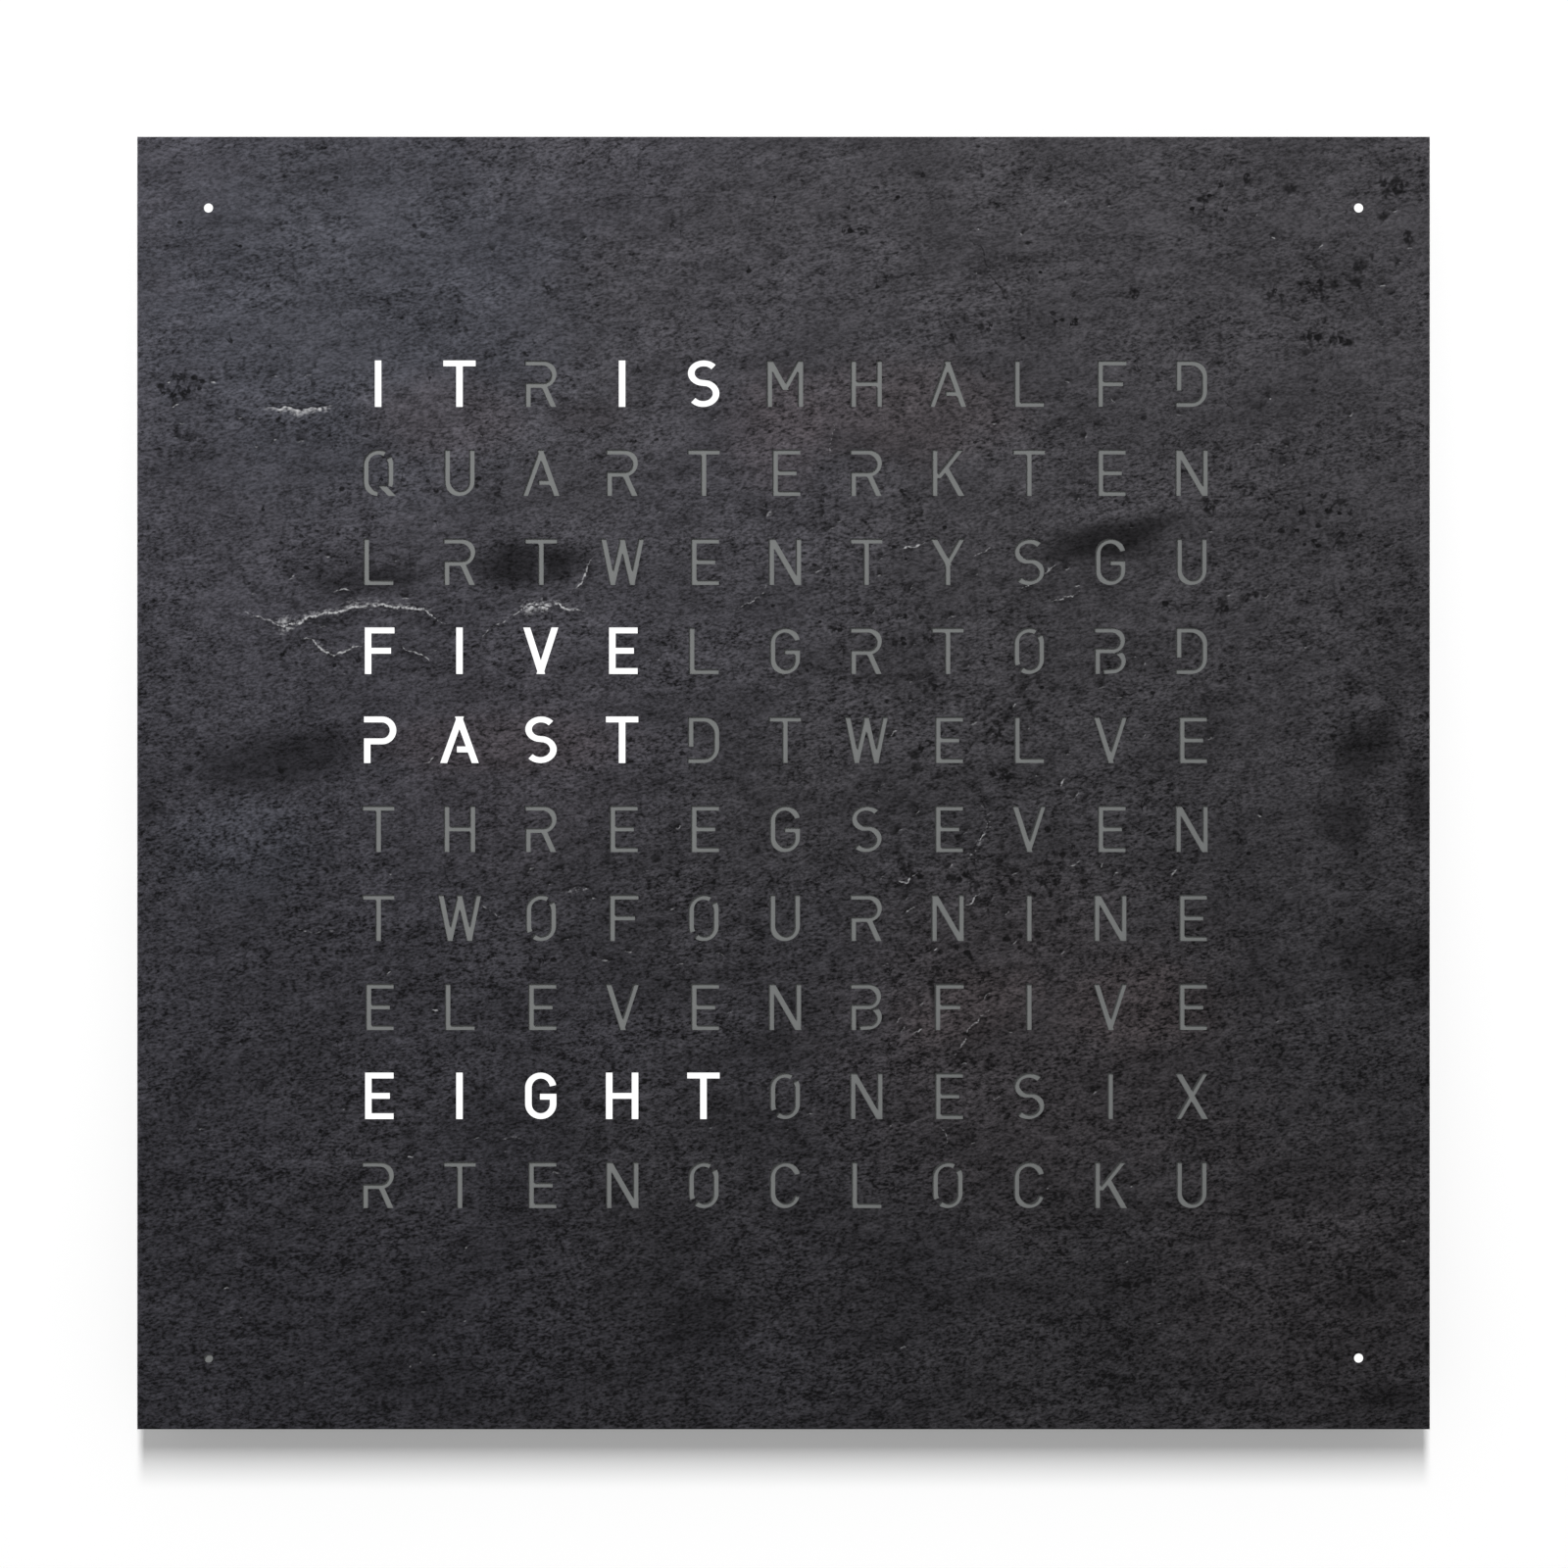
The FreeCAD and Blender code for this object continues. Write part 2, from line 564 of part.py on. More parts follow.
def add_board_seats(body):
    """Ribs under the boards, combs that the row boards lie in, and stops at the boards' ends."""
    ribs = new_sketch(body, "XZ_Plane", "floor_front")
    for number in (-1.5, -0.5, 0.5, 1.5):
        draw_box(ribs, f"{number} * rib_pitch * column_pitch", "0", "rib_thick", "rows_tall + board_tall")
    for left in SIDES:
        middle = "-switch_face + controller_tall / 2"
        draw_box(ribs, f"{left}controller_rib", middle, "rib_thick", "controller_tall")
        for side in ("-", "+"):
            shift = f"{side} (minute_board / 2 - rib_thick)"
            draw_box(ribs, f"{left}minute_at {shift}", "minute_at", "rib_thick", "minute_board")
            draw_box(ribs, f"{left}minute_at", f"-minute_at {shift}", "minute_board", "rib_thick")
    add_pad(body, ribs, "board_standoff")
    combs = new_sketch(body, "XZ_Plane", "floor_front")
    stop = "stop_clearance + rib_thick / 2"
    for x in ("-comb_x", "comb_x", f"-(board_left + {stop})", f"board_right + {stop}"):
        draw_box(combs, x, "0", "rib_thick", "2 * grid_half_tall")
    add_pad(body, combs, "board_front + comb_rise - floor_front")
    slots = new_sketch(body, "XZ_Plane", "board_back")
    for left in SIDES:
        wide, tall = "2 * rib_thick", "board_tall + 2 * comb_clearance"
        draw_box(slots, f"{left}comb_x", "-rows_tall / 2", wide, tall)
    cut = add_pocket(body, slots, "board_thick + comb_rise", backwards=True)
    repeat(body, [cut], slots, tall="rows_tall", up="letter_rows")


def clip_places():
    """Every snap clip: what it holds, its stem's side of it, and where the held edge and clip middle are."""
    for x in ("-ear_x", "0", "ear_x"):
        yield "grid_back + ear_thick", "+z", x, "ear_end"
        yield "grid_back + ear_thick", "-z", x, "-ear_end"
    for _, left, low in CORNERS:
        yield "foot_front", "+z", f"{left}minute_at", f"{low}minute_at + minute_board / 2"
        yield "foot_front", "-z", f"{left}minute_at", f"{low}minute_at - minute_board / 2"
    for z in ("-(minute_at + upper_lead) / 2", "-(minute_at + (lead_wide + clip_wide) / 2 + lead_gap)"):
        yield "controller_front", "-x", "-controller_long / 2", z
        yield "controller_front", "+x", "controller_long / 2", z


def add_clips(body):
    """Snap clips: stems beside what they hold, and lips over it. Those at one height share a sketch."""
    held = {}
    for top, side, x, z in clip_places():
        if top not in held:
            lips = new_sketch(body, "XZ_Plane", f"{top} + clip_clearance")
            held[top] = new_sketch(body, "XZ_Plane", "floor_front"), lips
        way, axis = side
        for sketch, near in zip(held[top], ("clip_clearance", "(-clip_lip)")):
            thick = f"(clip_clearance + clip_thick - {near})"
            shift = f"{way} ({near} + {thick} / 2)"
            if axis == "x":
                draw_box(sketch, f"{x} {shift}", z, thick, "clip_wide")
            else:
                draw_box(sketch, x, f"{z} {shift}", "clip_wide", thick)
    for top, (stems, lips) in held.items():
        add_pad(body, stems, f"{top} + clip_clearance + clip_head - floor_front")
        add_pad(body, lips, "clip_head")


def hanger_screw_places():
    """Where the hanger screws go, from left to right."""
    for number in range(round(value("hanger_screw_count"))):
        yield f"{number} * hanger_screw_pitch - hanger_screws_wide / 2", "hanger_screw_z"


def add_hanger_bosses(body):
    """Square bosses on the floor with the hanger screws' pilot holes, which open at the back."""
    posts = new_sketch(body, "XZ_Plane", "floor_front")
    pilots = new_sketch(body, "XZ_Plane", "wall_gap")
    side = "hanger_pilot + 2 * boss_wall"
    for x, z in hanger_screw_places():
        draw_box(posts, x, z, side, side)
        draw_circle(pilots, x, z, "hanger_pilot")
    add_pad(body, posts, "board_standoff")
    add_pocket(body, pilots, "hanger_screw_long + pilot_deeper", backwards=True)


def add_edge_holes(body):
    """Holes through the lower wall for the buttons, the power inlet and the light sensor."""
    holes = new_sketch(body, "XY_Plane", "-housing_half")
    wide, thick = "button_wide + 2 * button_clearance", "button_thick + 2 * button_clearance"
    for _, x in BUTTONS:
        draw_box(holes, x, "-button_depth", wide, thick)
    draw_circle(holes, "0", "-inlet_axis", "inlet_nose + 2 * nose_clearance")
    side = "sensor_nose + 2 * nose_clearance"
    draw_box(holes, "sensor_at", "-sensor_depth", side, side)
    add_pocket(body, holes, "wall_thick", backwards=True)


def add_vents(body):
    """A row of slots through the floor above the light grid and one below it."""
    slots = new_sketch(body, "XZ_Plane", "floor_front")
    wide = "(vent_count - 1) * vent_pitch"
    for low in SIDES:
        draw_box(slots, f"-{wide} / 2", f"{low}vent_z", "vent_wide", "vent_tall")
    cut = add_pocket(body, slots, "floor_thick")
    repeat(body, [cut], slots, wide=wide, across="vent_count")


def make_holding_magnets():
    """Eight bar magnets in the rim blocks."""
    body = new_body("holding_magnets")
    bars = new_sketch(body, "XZ_Plane", "housing_front - magnet_recess - magnet_thick")
    for first in SIDES:
        for second in SIDES:
            draw_box(bars, f"{first}magnet_at", f"{second}magnet_offset", "magnet_wide", "magnet_long")
            draw_box(bars, f"{second}magnet_offset", f"{first}magnet_at", "magnet_long", "magnet_wide")
    add_pad(body, bars, "magnet_thick")


def make_wall_bumpers():
    """Rubber feet at the back corners, which keep the clock parallel to the wall."""
    body = new_body("wall_bumpers")
    feet = new_sketch(body, "XZ_Plane", "0")
    for _, left, low in CORNERS:
        draw_box(feet, f"{left}bumper_at", f"{low}bumper_at", "bumper_side", "bumper_side")
    add_pad(body, feet, "wall_gap")


# ---------------------------------------------------------------- light grid and letter matrix

def make_light_grid():
    """Moulded grid with one light shaft for each letter, and ears for its clips."""
    body = new_body("light_grid")
    outline = new_sketch(body, "XZ_Plane", "grid_back")
    draw_box(outline, "0", "0", "2 * grid_half_wide", "2 * grid_half_tall")
    add_pad(body, outline, "grid_tall")
    ears = new_sketch(body, "XZ_Plane", "grid_back")
    for low in SIDES:
        middle = f"{low}(grid_half_tall + ear_long / 2)"
        for x in ("-ear_x", "0", "ear_x"):
            draw_box(ears, x, middle, "ear_wide", "ear_long")
    add_pad(body, ears, "ear_thick")
    shaft = new_sketch(body, "XZ_Plane", "grid_back")
    across, upright = "column_pitch - grid_wall", "row_pitch - grid_wall"
    draw_box(shaft, "-columns_wide / 2", "-rows_tall / 2", across, upright)
    cut = add_pocket(body, shaft)
    repeat(body, [cut], shaft, "columns_wide", "letter_columns", "rows_tall", "letter_rows")


def make_row_boards():
    """One LED board behind each row of letters."""
    for row in row_numbers():
        body = new_body(f"row_board_{row + 1:02d}")
        outline = new_sketch(body, "XZ_Plane", "board_back")
        middle, wide = "(board_right - board_left) / 2", "board_right + board_left"
        draw_box(outline, middle, row_height(row), wide, "board_tall")
        add_pad(body, outline, "board_thick")


def make_letter_leds():
    """One LED package in the middle of each light shaft."""
    body = new_body("letter_leds")
    package = new_sketch(body, "XZ_Plane", "board_front")
    draw_box(package, "-columns_wide / 2", "-rows_tall / 2", "led_side", "led_side")
    pad = add_pad(body, package, "led_tall")
    repeat(body, [pad], package, "columns_wide", "letter_columns", "rows_tall", "letter_rows")


def make_row_connectors():
    """The connector at the left end of each row board."""
    body = new_body("row_connectors")
    block = new_sketch(body, "XZ_Plane", "board_front")
    draw_box(block, "-ribbon_x", "-rows_tall / 2", "connector_wide", "connector_long")
    pad = add_pad(body, block, "connector_tall")
    repeat(body, [pad], block, tall="rows_tall", up="letter_rows")


def make_bus_ribbon():
    """Flat cable from the controller's header along the row connectors."""
    body = new_body("bus_ribbon")
    outline = new_sketch(body, "XZ_Plane", "ribbon_back")
    left, right = "-ribbon_x - ribbon_wide / 2", "-ribbon_x + ribbon_wide / 2"
    level = "-switch_face + header_up"
    low, high = f"{level} - ribbon_wide / 2", f"{level} + ribbon_wide / 2"
    top = "rows_tall / 2 + ribbon_end"
    end = "header_across + header_wide / 2"
    draw_polygon(outline, ((left, low), (end, low), (end, high), (right, high), (right, top), (left, top)))
    add_pad(body, outline, "ribbon_thick")


# ---------------------------------------------------------------- minute lights

def make_minute_lights():
    """A board and a light shaft at each corner."""
    for corner, left, low in CORNERS:
        x, z = f"{left}minute_at", f"{low}minute_at"
        board = new_body(f"minute_board_{corner}")
        outline = new_sketch(board, "XZ_Plane", "board_back")
        draw_box(outline, x, z, "minute_board", "minute_board")
        add_pad(board, outline, "board_thick")
        shaft = new_body(f"minute_shaft_{corner}")
        foot = new_sketch(shaft, "XZ_Plane", "board_front")
        draw_box(foot, x, z, "minute_board", "minute_board")
        add_pad(shaft, foot, "foot_thick")
        walls = new_sketch(shaft, "XZ_Plane", "board_front")
        draw_box(walls, x, z, "shaft_bore + 2 * shaft_wall", "shaft_bore + 2 * shaft_wall")
        add_pad(shaft, walls, "housing_front - grid_clearance - board_front")
        bore = new_sketch(shaft, "XZ_Plane", "board_front")
        draw_box(bore, x, z, "shaft_bore", "shaft_bore")
        add_pocket(shaft, bore)


def make_minute_leds():
    """The four minute LEDs."""
    body = new_body("minute_leds")
    package = new_sketch(body, "XZ_Plane", "board_front")
    draw_box(package, "-minute_at", "-minute_at", "led_side", "led_side")
    pad = add_pad(body, package, "led_tall")
    repeat(body, [pad], package, wide="2 * minute_at", tall="2 * minute_at")


def flat_cable(points, bend, wide, thick):
    """A flat cable of rectangular section along straight runs joined by tangent arcs."""
    edges, start = [], points[0]
    for before, corner, after in zip(points, points[1:], points[2:]):
        way_in = (corner - before).normalize()
        way_out = (after - corner).normalize()
        reach = bend * math.tan(way_in.getAngle(way_out) / 2)
        begin, end = corner - way_in * reach, corner + way_out * reach
        inward = (way_out - way_in).normalize()
        middle = corner + inward * (math.hypot(bend, reach) - bend)
        edges.append(Part.LineSegment(start, begin).toShape())
        edges.append(Part.Arc(begin, middle, end).toShape())
        start = end
    edges.append(Part.LineSegment(start, points[-1]).toShape())
    up = Vector(0, thick / 2, 0)
    side = up.cross(points[1] - points[0]).normalize() * wide / 2
    corners = [points[0] + across + level for across, level in
               ((side, up), (side, -up), (-side, -up), (-side, up), (side, up))]
    return Part.Wire(edges).makePipeShell([Part.makePolygon(corners)], True, False)


def make_minute_leads():
    """Four flat leads on the housing floor, from the corner boards to the underside of the controller."""
    depth = value("floor_front + lead_clearance + lead_thick / 2")
    start, end = value("minute_at - lead_inset"), value("controller_long / 2 - lead_tuck")
    level, upper = value("minute_at"), value("-upper_lead")
    from_top = (start, level), (start, upper), (end, upper)
    from_bottom = (start, -level), (end, -level)
    leads = []
    for side in (-1, 1):
        for route in (from_top, from_bottom):
            points = [Vector(side * x, -depth, z) for x, z in route]
            leads.append(flat_cable(points, value("lead_bend"), value("lead_wide"), value("lead_thick")))
    feature = doc.addObject("Part::Feature", "minute_leads")
    feature.Label = "minute_leads"
    feature.Shape = Part.Compound(leads)
    nodes["minute_leads"] = feature


# ---------------------------------------------------------------- controller

def make_controller_board():
    """Controller board along the lower wall, with its lower edge at the button switches' faces."""
    body = new_body("controller_board")
    outline = new_sketch(body, "XZ_Plane", "board_back")
    draw_box(outline, "0", "-switch_face + controller_tall / 2", "controller_long", "controller_tall")
    add_pad(body, outline, "controller_thick")


def make_chips(name, chips):
    """Flat packages on the controller board, as one node."""
    body = new_body(name)
    for chip in chips:
        outline = new_sketch(body, "XZ_Plane", "controller_front")
        draw_box(outline, f"{chip}_across", f"-switch_face + {chip}_up", f"{chip}_wide", f"{chip}_tall")
        add_pad(body, outline, f"{chip}_high")


def make_ribbon_header():
    """Header under the end of the bus ribbon."""
    body = new_body("ribbon_header")
    outline = new_sketch(body, "XZ_Plane", "controller_front")
    draw_box(outline, "header_across", "-switch_face + header_up", "header_wide", "header_tall")
    add_pad(body, outline, "ribbon_back - controller_front")


def make_clock_crystal():
    """Metal can of the timekeeping crystal."""
    body = new_body("clock_crystal")
    outline = new_sketch(body, "XZ_Plane", "controller_front")
    draw_slot(outline, "crystal_across", "-switch_face + crystal_up", "crystal_wide", "crystal_tall")
    add_pad(body, outline, "crystal_high")


def make_capacitors():
    """Two electrolytic capacitors."""
    body = new_body("capacitors")
    cans = new_sketch(body, "XZ_Plane", "controller_front")
    for can in CAPACITORS:
        draw_circle(cans, f"{can}_across", f"-switch_face + {can}_up", "capacitor_diameter")
    add_pad(body, cans, "capacitor_high")


def make_coin_cell():
    """Backup cell and the holder it drops into."""
    x, z = "cell_across", "-switch_face + cell_up"
    holder = new_body("coin_cell_holder")
    outline = new_sketch(holder, "XZ_Plane", "controller_front")
    side = "cell_diameter + 2 * cell_clearance + 2 * holder_wall"
    draw_box(outline, x, z, side, side)
    add_pad(holder, outline, "holder_base + holder_rim")
    well = new_sketch(holder, "XZ_Plane", "controller_front + holder_base + holder_rim")
    opening = "cell_diameter + 2 * cell_clearance"
    draw_box(well, x, z, opening, opening)
    add_pocket(holder, well, "holder_rim")
    cell = new_body("coin_cell")
    disc = new_sketch(cell, "XZ_Plane", "controller_front + holder_base")
    draw_circle(disc, x, z, "cell_diameter")
    add_pad(cell, disc, "cell_thick")


def make_power_inlet():
    """Low-voltage barrel socket, its nose flush in the lower wall, and its centre pin."""
    body = new_body("power_inlet")
    block = new_sketch(body, "XY_Plane", "-switch_face")
    draw_box(block, "0", "-inlet_axis", "inlet_wide", "inlet_tall")
    add_pad(body, block, "inlet_long")
    nose = new_sketch(body, "XY_Plane", "-housing_half")
    draw_circle(nose, "0", "-inlet_axis", "inlet_nose")
    add_pad(body, nose, "housing_half - switch_face")
    bore = new_sketch(body, "XY_Plane", "-housing_half")
    draw_circle(bore, "0", "-inlet_axis", "inlet_bore")
    add_pocket(body, bore, "inlet_depth", backwards=True)
    pin = new_body("inlet_pin")
    bar = new_sketch(pin, "XY_Plane", "-housing_half + inlet_pin_short")
    draw_circle(bar, "0", "-inlet_axis", "inlet_pin")
    add_pad(pin, bar, "inlet_depth - inlet_pin_short")


def make_light_sensor():
    """Ambient light sensor that looks out through the lower wall."""
    body = new_body("light_sensor")
    block = new_sketch(body, "XY_Plane", "-switch_face")
    draw_box(block, "sensor_at", "-sensor_depth", "sensor_side", "2 * sensor_axis")
    add_pad(body, block, "sensor_side")
    nose = new_sketch(body, "XY_Plane", "-housing_half")
    draw_box(nose, "sensor_at", "-sensor_depth", "sensor_nose", "sensor_nose")
    add_pad(body, nose, "housing_half - switch_face")


# ---------------------------------------------------------------- buttons

def make_button_switches():
    """Four side-actuated switches on the edge of the controller."""
    body = new_body("button_switches")
    cases = new_sketch(body, "XY_Plane", "-switch_face")
    holes = new_sketch(body, "XY_Plane", "-switch_face")
    side = "plunger_side + 2 * plunger_clearance"
    for _, x in BUTTONS:
        draw_box(cases, x, "-button_depth", "switch_wide", "switch_tall")
        draw_box(holes, x, "-button_depth", side, side)
    add_pad(body, cases, "switch_long")
    add_pocket(body, holes, "plunger_seat + button_travel + plunger_clearance", backwards=True)


def make_buttons():
    """Setting buttons that slide in the lower wall, each on the plunger of its switch."""
    for name, x in BUTTONS:
        button = new_body(name)
        cap = new_sketch(button, "XY_Plane", "-(housing_half + button_proud)")
        draw_box(cap, x, "-button_depth", "button_wide", "button_thick")
        add_pad(button, cap, "button_proud + wall_thick + flange_gap")
        dress(button, "Chamfer", lies_below("housing_half + button_proud"), "button_bevel")
        collar = new_sketch(button, "XY_Plane", "-(inner_half - flange_gap)")
        wide, thick = "button_wide + 2 * flange_lip", "button_thick + 2 * flange_lip"
        draw_box(collar, x, "-button_depth", wide, thick)
        add_pad(button, collar, "flange_thick")
        plunger = new_body(name.replace("button", "plunger"))
        bar = new_sketch(plunger, "XY_Plane", "-(switch_face + plunger_reach)")
        draw_box(bar, x, "-button_depth", "plunger_side", "plunger_side")
        add_pad(plunger, bar, "plunger_reach + plunger_seat")


# ---------------------------------------------------------------- wall hardware

def draw_step(sketch, low, bend, flat, high, near, far):
    """Outline of a stepped strip: at depth near up to the bend, at depth far above it, one sheet thick."""
    draw_polygon(sketch, (
        (f"-{near}", low),
        (f"-{near}", bend),
        (f"-{far}", flat),
        (f"-{far}", high),
        (f"-({far} + sheet_thick)", high),
        (f"-({far} + sheet_thick)", flat),
        (f"-({near} + sheet_thick)", bend),
        (f"-({near} + sheet_thick)", low),
    ))


def make_wall_bracket():
    """Sheet steel bracket screwed to the wall, with a hook that points up and stands off the wall."""
    body = new_body("wall_bracket")
    profile = new_sketch(body, "YZ_Plane", "0")
    bend = "bracket_base - bend_rise"
    draw_step(profile, "-bracket_base", bend, "bracket_base", "hook_top", "0", "bracket_step")
    add_pad(body, profile, "bracket_long", both_ways=True)
    dress(body, "Chamfer", straight_along(Vector(0, 1, 0)), "bracket_corner")
    hole = new_sketch(body, "XZ_Plane", "0")
    draw_circle(hole, "-wall_screw_x / 2", "-wall_screw_z / 2", "wall_screw_hole")
    cut = add_pocket(body, hole)
    repeat(body, [cut], hole, wide="wall_screw_x", tall="wall_screw_z")


def make_hanger_plate():
    """Sheet steel hanger on the housing, with a hook that points down behind the bracket's hook."""
    body = new_body("hanger_plate")
    profile = new_sketch(body, "YZ_Plane", "0")
    low, high = "bracket_base + hook_seat", "hanger_flat + hanger_flange"
    draw_step(profile, low, "hanger_bend", "hanger_flat", high, "hook_clearance", "(wall_gap - sheet_thick)")
    add_pad(body, profile, "hanger_long", both_ways=True)
    dress(body, "Chamfer", straight_along(Vector(0, 1, 0)), "bracket_corner")
    holes = new_sketch(body, "XZ_Plane", "0")
    for x, z in hanger_screw_places():
        draw_circle(holes, x, z, "hanger_hole")
    add_pocket(body, holes)


def make_hanger_screws():
    """Hexagon screws through the hanger into the housing, with their heads towards the wall."""
    body = new_body("hanger_screws")
    seat = "wall_gap - sheet_thick"
    heads = new_sketch(body, "XZ_Plane", f"{seat} - hanger_head_tall")
    stems = new_sketch(body, "XZ_Plane", seat)
    reach = "hanger_head / sqrt(3)"
    turns = ((-1, 0), (-0.5, -0.5), (0.5, -0.5), (1, 0), (0.5, 0.5), (-0.5, 0.5))
    for x, z in hanger_screw_places():
        draw_polygon(heads, [(f"{x} + {a} * {reach}", f"{z} + {b} * hanger_head") for a, b in turns])
        draw_circle(stems, x, z, "hanger_screw")
    add_pad(body, heads, "hanger_head_tall")
    add_pad(body, stems, "sheet_thick + hanger_screw_long")


# ---------------------------------------------------------------- build and write

def write_parts():
    """Checks every object and every node's shape, then writes one STEP file for each node."""
    for item in doc.Objects:
        if "Invalid" in item.State or "Error" in item.State:
            raise RuntimeError(f"{item.Label} failed: {item.State}")
    for name, item in nodes.items():
        if item.Shape.isNull() or not item.Shape.isValid() or item.Shape.Volume <= 0:
            raise RuntimeError(f"{name} has no valid shape")
    os.makedirs("parts", exist_ok=True)
    for name, item in nodes.items():
        item.Shape.exportStep(f"parts/{name}.step")
        print(f"{name}: {len(item.Shape.Solids)} solid(s), {item.Shape.Volume:.1f} mm3")


sheet = make_sheet()
make_stone_face()
make_diffuser_sheet()
make_carrier_plate()
make_locating_lugs()
make_holding_magnets()
make_wall_bumpers()
make_light_grid()
make_row_boards()
make_letter_leds()
make_row_connectors()
make_bus_ribbon()
make_minute_lights()
make_minute_leds()
make_minute_leads()
make_controller_board()
make_chips("processor_chip", ["processor"])
make_chips("driver_chips", ["upper_driver", "lower_driver"])
make_chips("voltage_regulator", ["regulator"])
make_ribbon_header()
make_clock_crystal()
make_capacitors()
make_coin_cell()
make_power_inlet()
make_light_sensor()
make_button_switches()
make_buttons()
make_wall_bracket()
make_hanger_plate()
make_hanger_screws()
make_rear_housing()
doc.recompute()
write_parts()
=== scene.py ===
import math
import random

import bpy
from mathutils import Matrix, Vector, geometry, noise


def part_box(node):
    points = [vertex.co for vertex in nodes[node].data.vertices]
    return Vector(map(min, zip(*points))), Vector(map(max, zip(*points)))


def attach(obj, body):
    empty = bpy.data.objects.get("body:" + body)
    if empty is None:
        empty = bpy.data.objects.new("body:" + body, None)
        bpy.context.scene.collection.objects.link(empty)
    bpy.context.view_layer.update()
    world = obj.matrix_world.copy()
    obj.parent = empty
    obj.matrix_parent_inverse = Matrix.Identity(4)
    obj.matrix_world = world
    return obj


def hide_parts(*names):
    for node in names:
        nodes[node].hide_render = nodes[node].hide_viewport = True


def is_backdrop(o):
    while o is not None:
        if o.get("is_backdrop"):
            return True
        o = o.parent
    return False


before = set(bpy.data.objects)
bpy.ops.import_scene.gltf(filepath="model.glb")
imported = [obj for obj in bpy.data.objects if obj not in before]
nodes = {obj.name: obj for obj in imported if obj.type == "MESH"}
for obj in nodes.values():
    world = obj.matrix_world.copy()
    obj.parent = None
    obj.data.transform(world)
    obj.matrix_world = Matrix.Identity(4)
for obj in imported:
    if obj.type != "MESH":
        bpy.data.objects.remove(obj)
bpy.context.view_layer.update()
scene = bpy.context.scene
scene.view_settings.view_transform = "Standard"
mm = 0.001
print("frame loaded:", len(nodes), "nodes")


# Places that the other pieces are worked out from, read from the frame

stoneLow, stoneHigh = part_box("stone_face")
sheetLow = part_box("diffuser_sheet")[0]
ledLow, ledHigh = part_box("letter_leds")
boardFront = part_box("controller_board")[0].y
ledHalf = 2.5 * mm  # half of one LED package
columns, rows = 11, 10


def middle(node):
    low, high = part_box(node)
    return (low + high) / 2


def columnX(column):
    first, last = ledLow.x + ledHalf, ledHigh.x - ledHalf
    return first + (last - first) * column / (columns - 1)


def rowZ(row):
    return middle(f"row_board_{row + 1:02d}").z


corners = ["top_left", "top_right", "bottom_left", "bottom_right"]
litCorners = corners[:2] + corners[3:]


# What the dial says: the time words run together, and the lit runs are (row, first column, last column)

dial = {
    "rows": [
        "ITRISMHALFD",
        "QUARTERKTEN",
        "LRTWENTYSGU",
        "FIVELGRTOBD",
        "PASTDTWELVE",
        "THREEGSEVEN",
        "TWOFOURNINE",
        "ELEVENBFIVE",
        "EIGHTONESIX",
        "RTENOCLOCKU",
    ],
    "lit": [(0, 0, 1), (0, 3, 4), (3, 0, 3), (4, 0, 3), (8, 0, 4)],
}


def isLit(row, column):
    return any(row == r and first <= column <= last for r, first, last in dial["lit"])


# Shader expressions

def tint(red, green, blue):
    # a colour as a screen shows it, 0 to 255, in the renderer's own linear values
    def linear(value):
        value /= 255
        return value / 12.92 if value <= 0.04045 else ((value + 0.055) / 1.055) ** 2.4
    return (linear(red), linear(green), linear(blue), 1.0)


def operator(operation, reflected=False):
    # a method that adds the Math node of that operation; reflected puts the other number first
    def made(self, other):
        return self.maths(operation, other, self) if reflected else self.maths(operation, self, other)
    return made


class Value:
    # an output socket; an operator on it adds the Math node that it stands for
    def __init__(self, owner, socket):
        self.owner = owner
        self.socket = socket

    def maths(self, operation, *numbers):
        return self.owner.add("Math", dict(enumerate(numbers)), operation=operation)

    __add__, __radd__ = operator("ADD"), operator("ADD", True)
    __sub__, __rsub__ = operator("SUBTRACT"), operator("SUBTRACT", True)
    __mul__, __rmul__ = operator("MULTIPLY"), operator("MULTIPLY", True)
    __truediv__, __rtruediv__ = operator("DIVIDE"), operator("DIVIDE", True)
    __lt__, __gt__ = operator("LESS_THAN"), operator("GREATER_THAN")
    maximum = operator("MAXIMUM")

    def __abs__(self):
        return self.maths("ABSOLUTE", self)

    def fraction(self):
        return self.maths("FRACT", self)

    def root(self):
        return self.maths("SQRT", self)


def darker(colour, share):
    return tuple(share * c for c in colour[:3]) + (1.0,)


class Nodes:
    # a node tree under construction, of either kind
    prefix = "ShaderNode"
    shared = ("Math", "CombineXYZ")  # these have the same name in both kinds of tree

    def __init__(self, tree):
        self.tree = tree
        tree.nodes.clear()

    def add(self, kind, sockets=None, output=0, **settings):
        node = self.tree.nodes.new(("ShaderNode" if kind in self.shared else self.prefix) + kind)
        for name, value in settings.items():
            setattr(node, name, value)
        for name, value in (sockets or {}).items():
            if isinstance(value, (Value, list)):
                for part in value if isinstance(value, list) else [value]:
                    self.tree.links.new(part.socket, node.inputs[name])
            else:
                node.inputs[name].default_value = value
        return Value(self, node.outputs[output]) if node.outputs else None


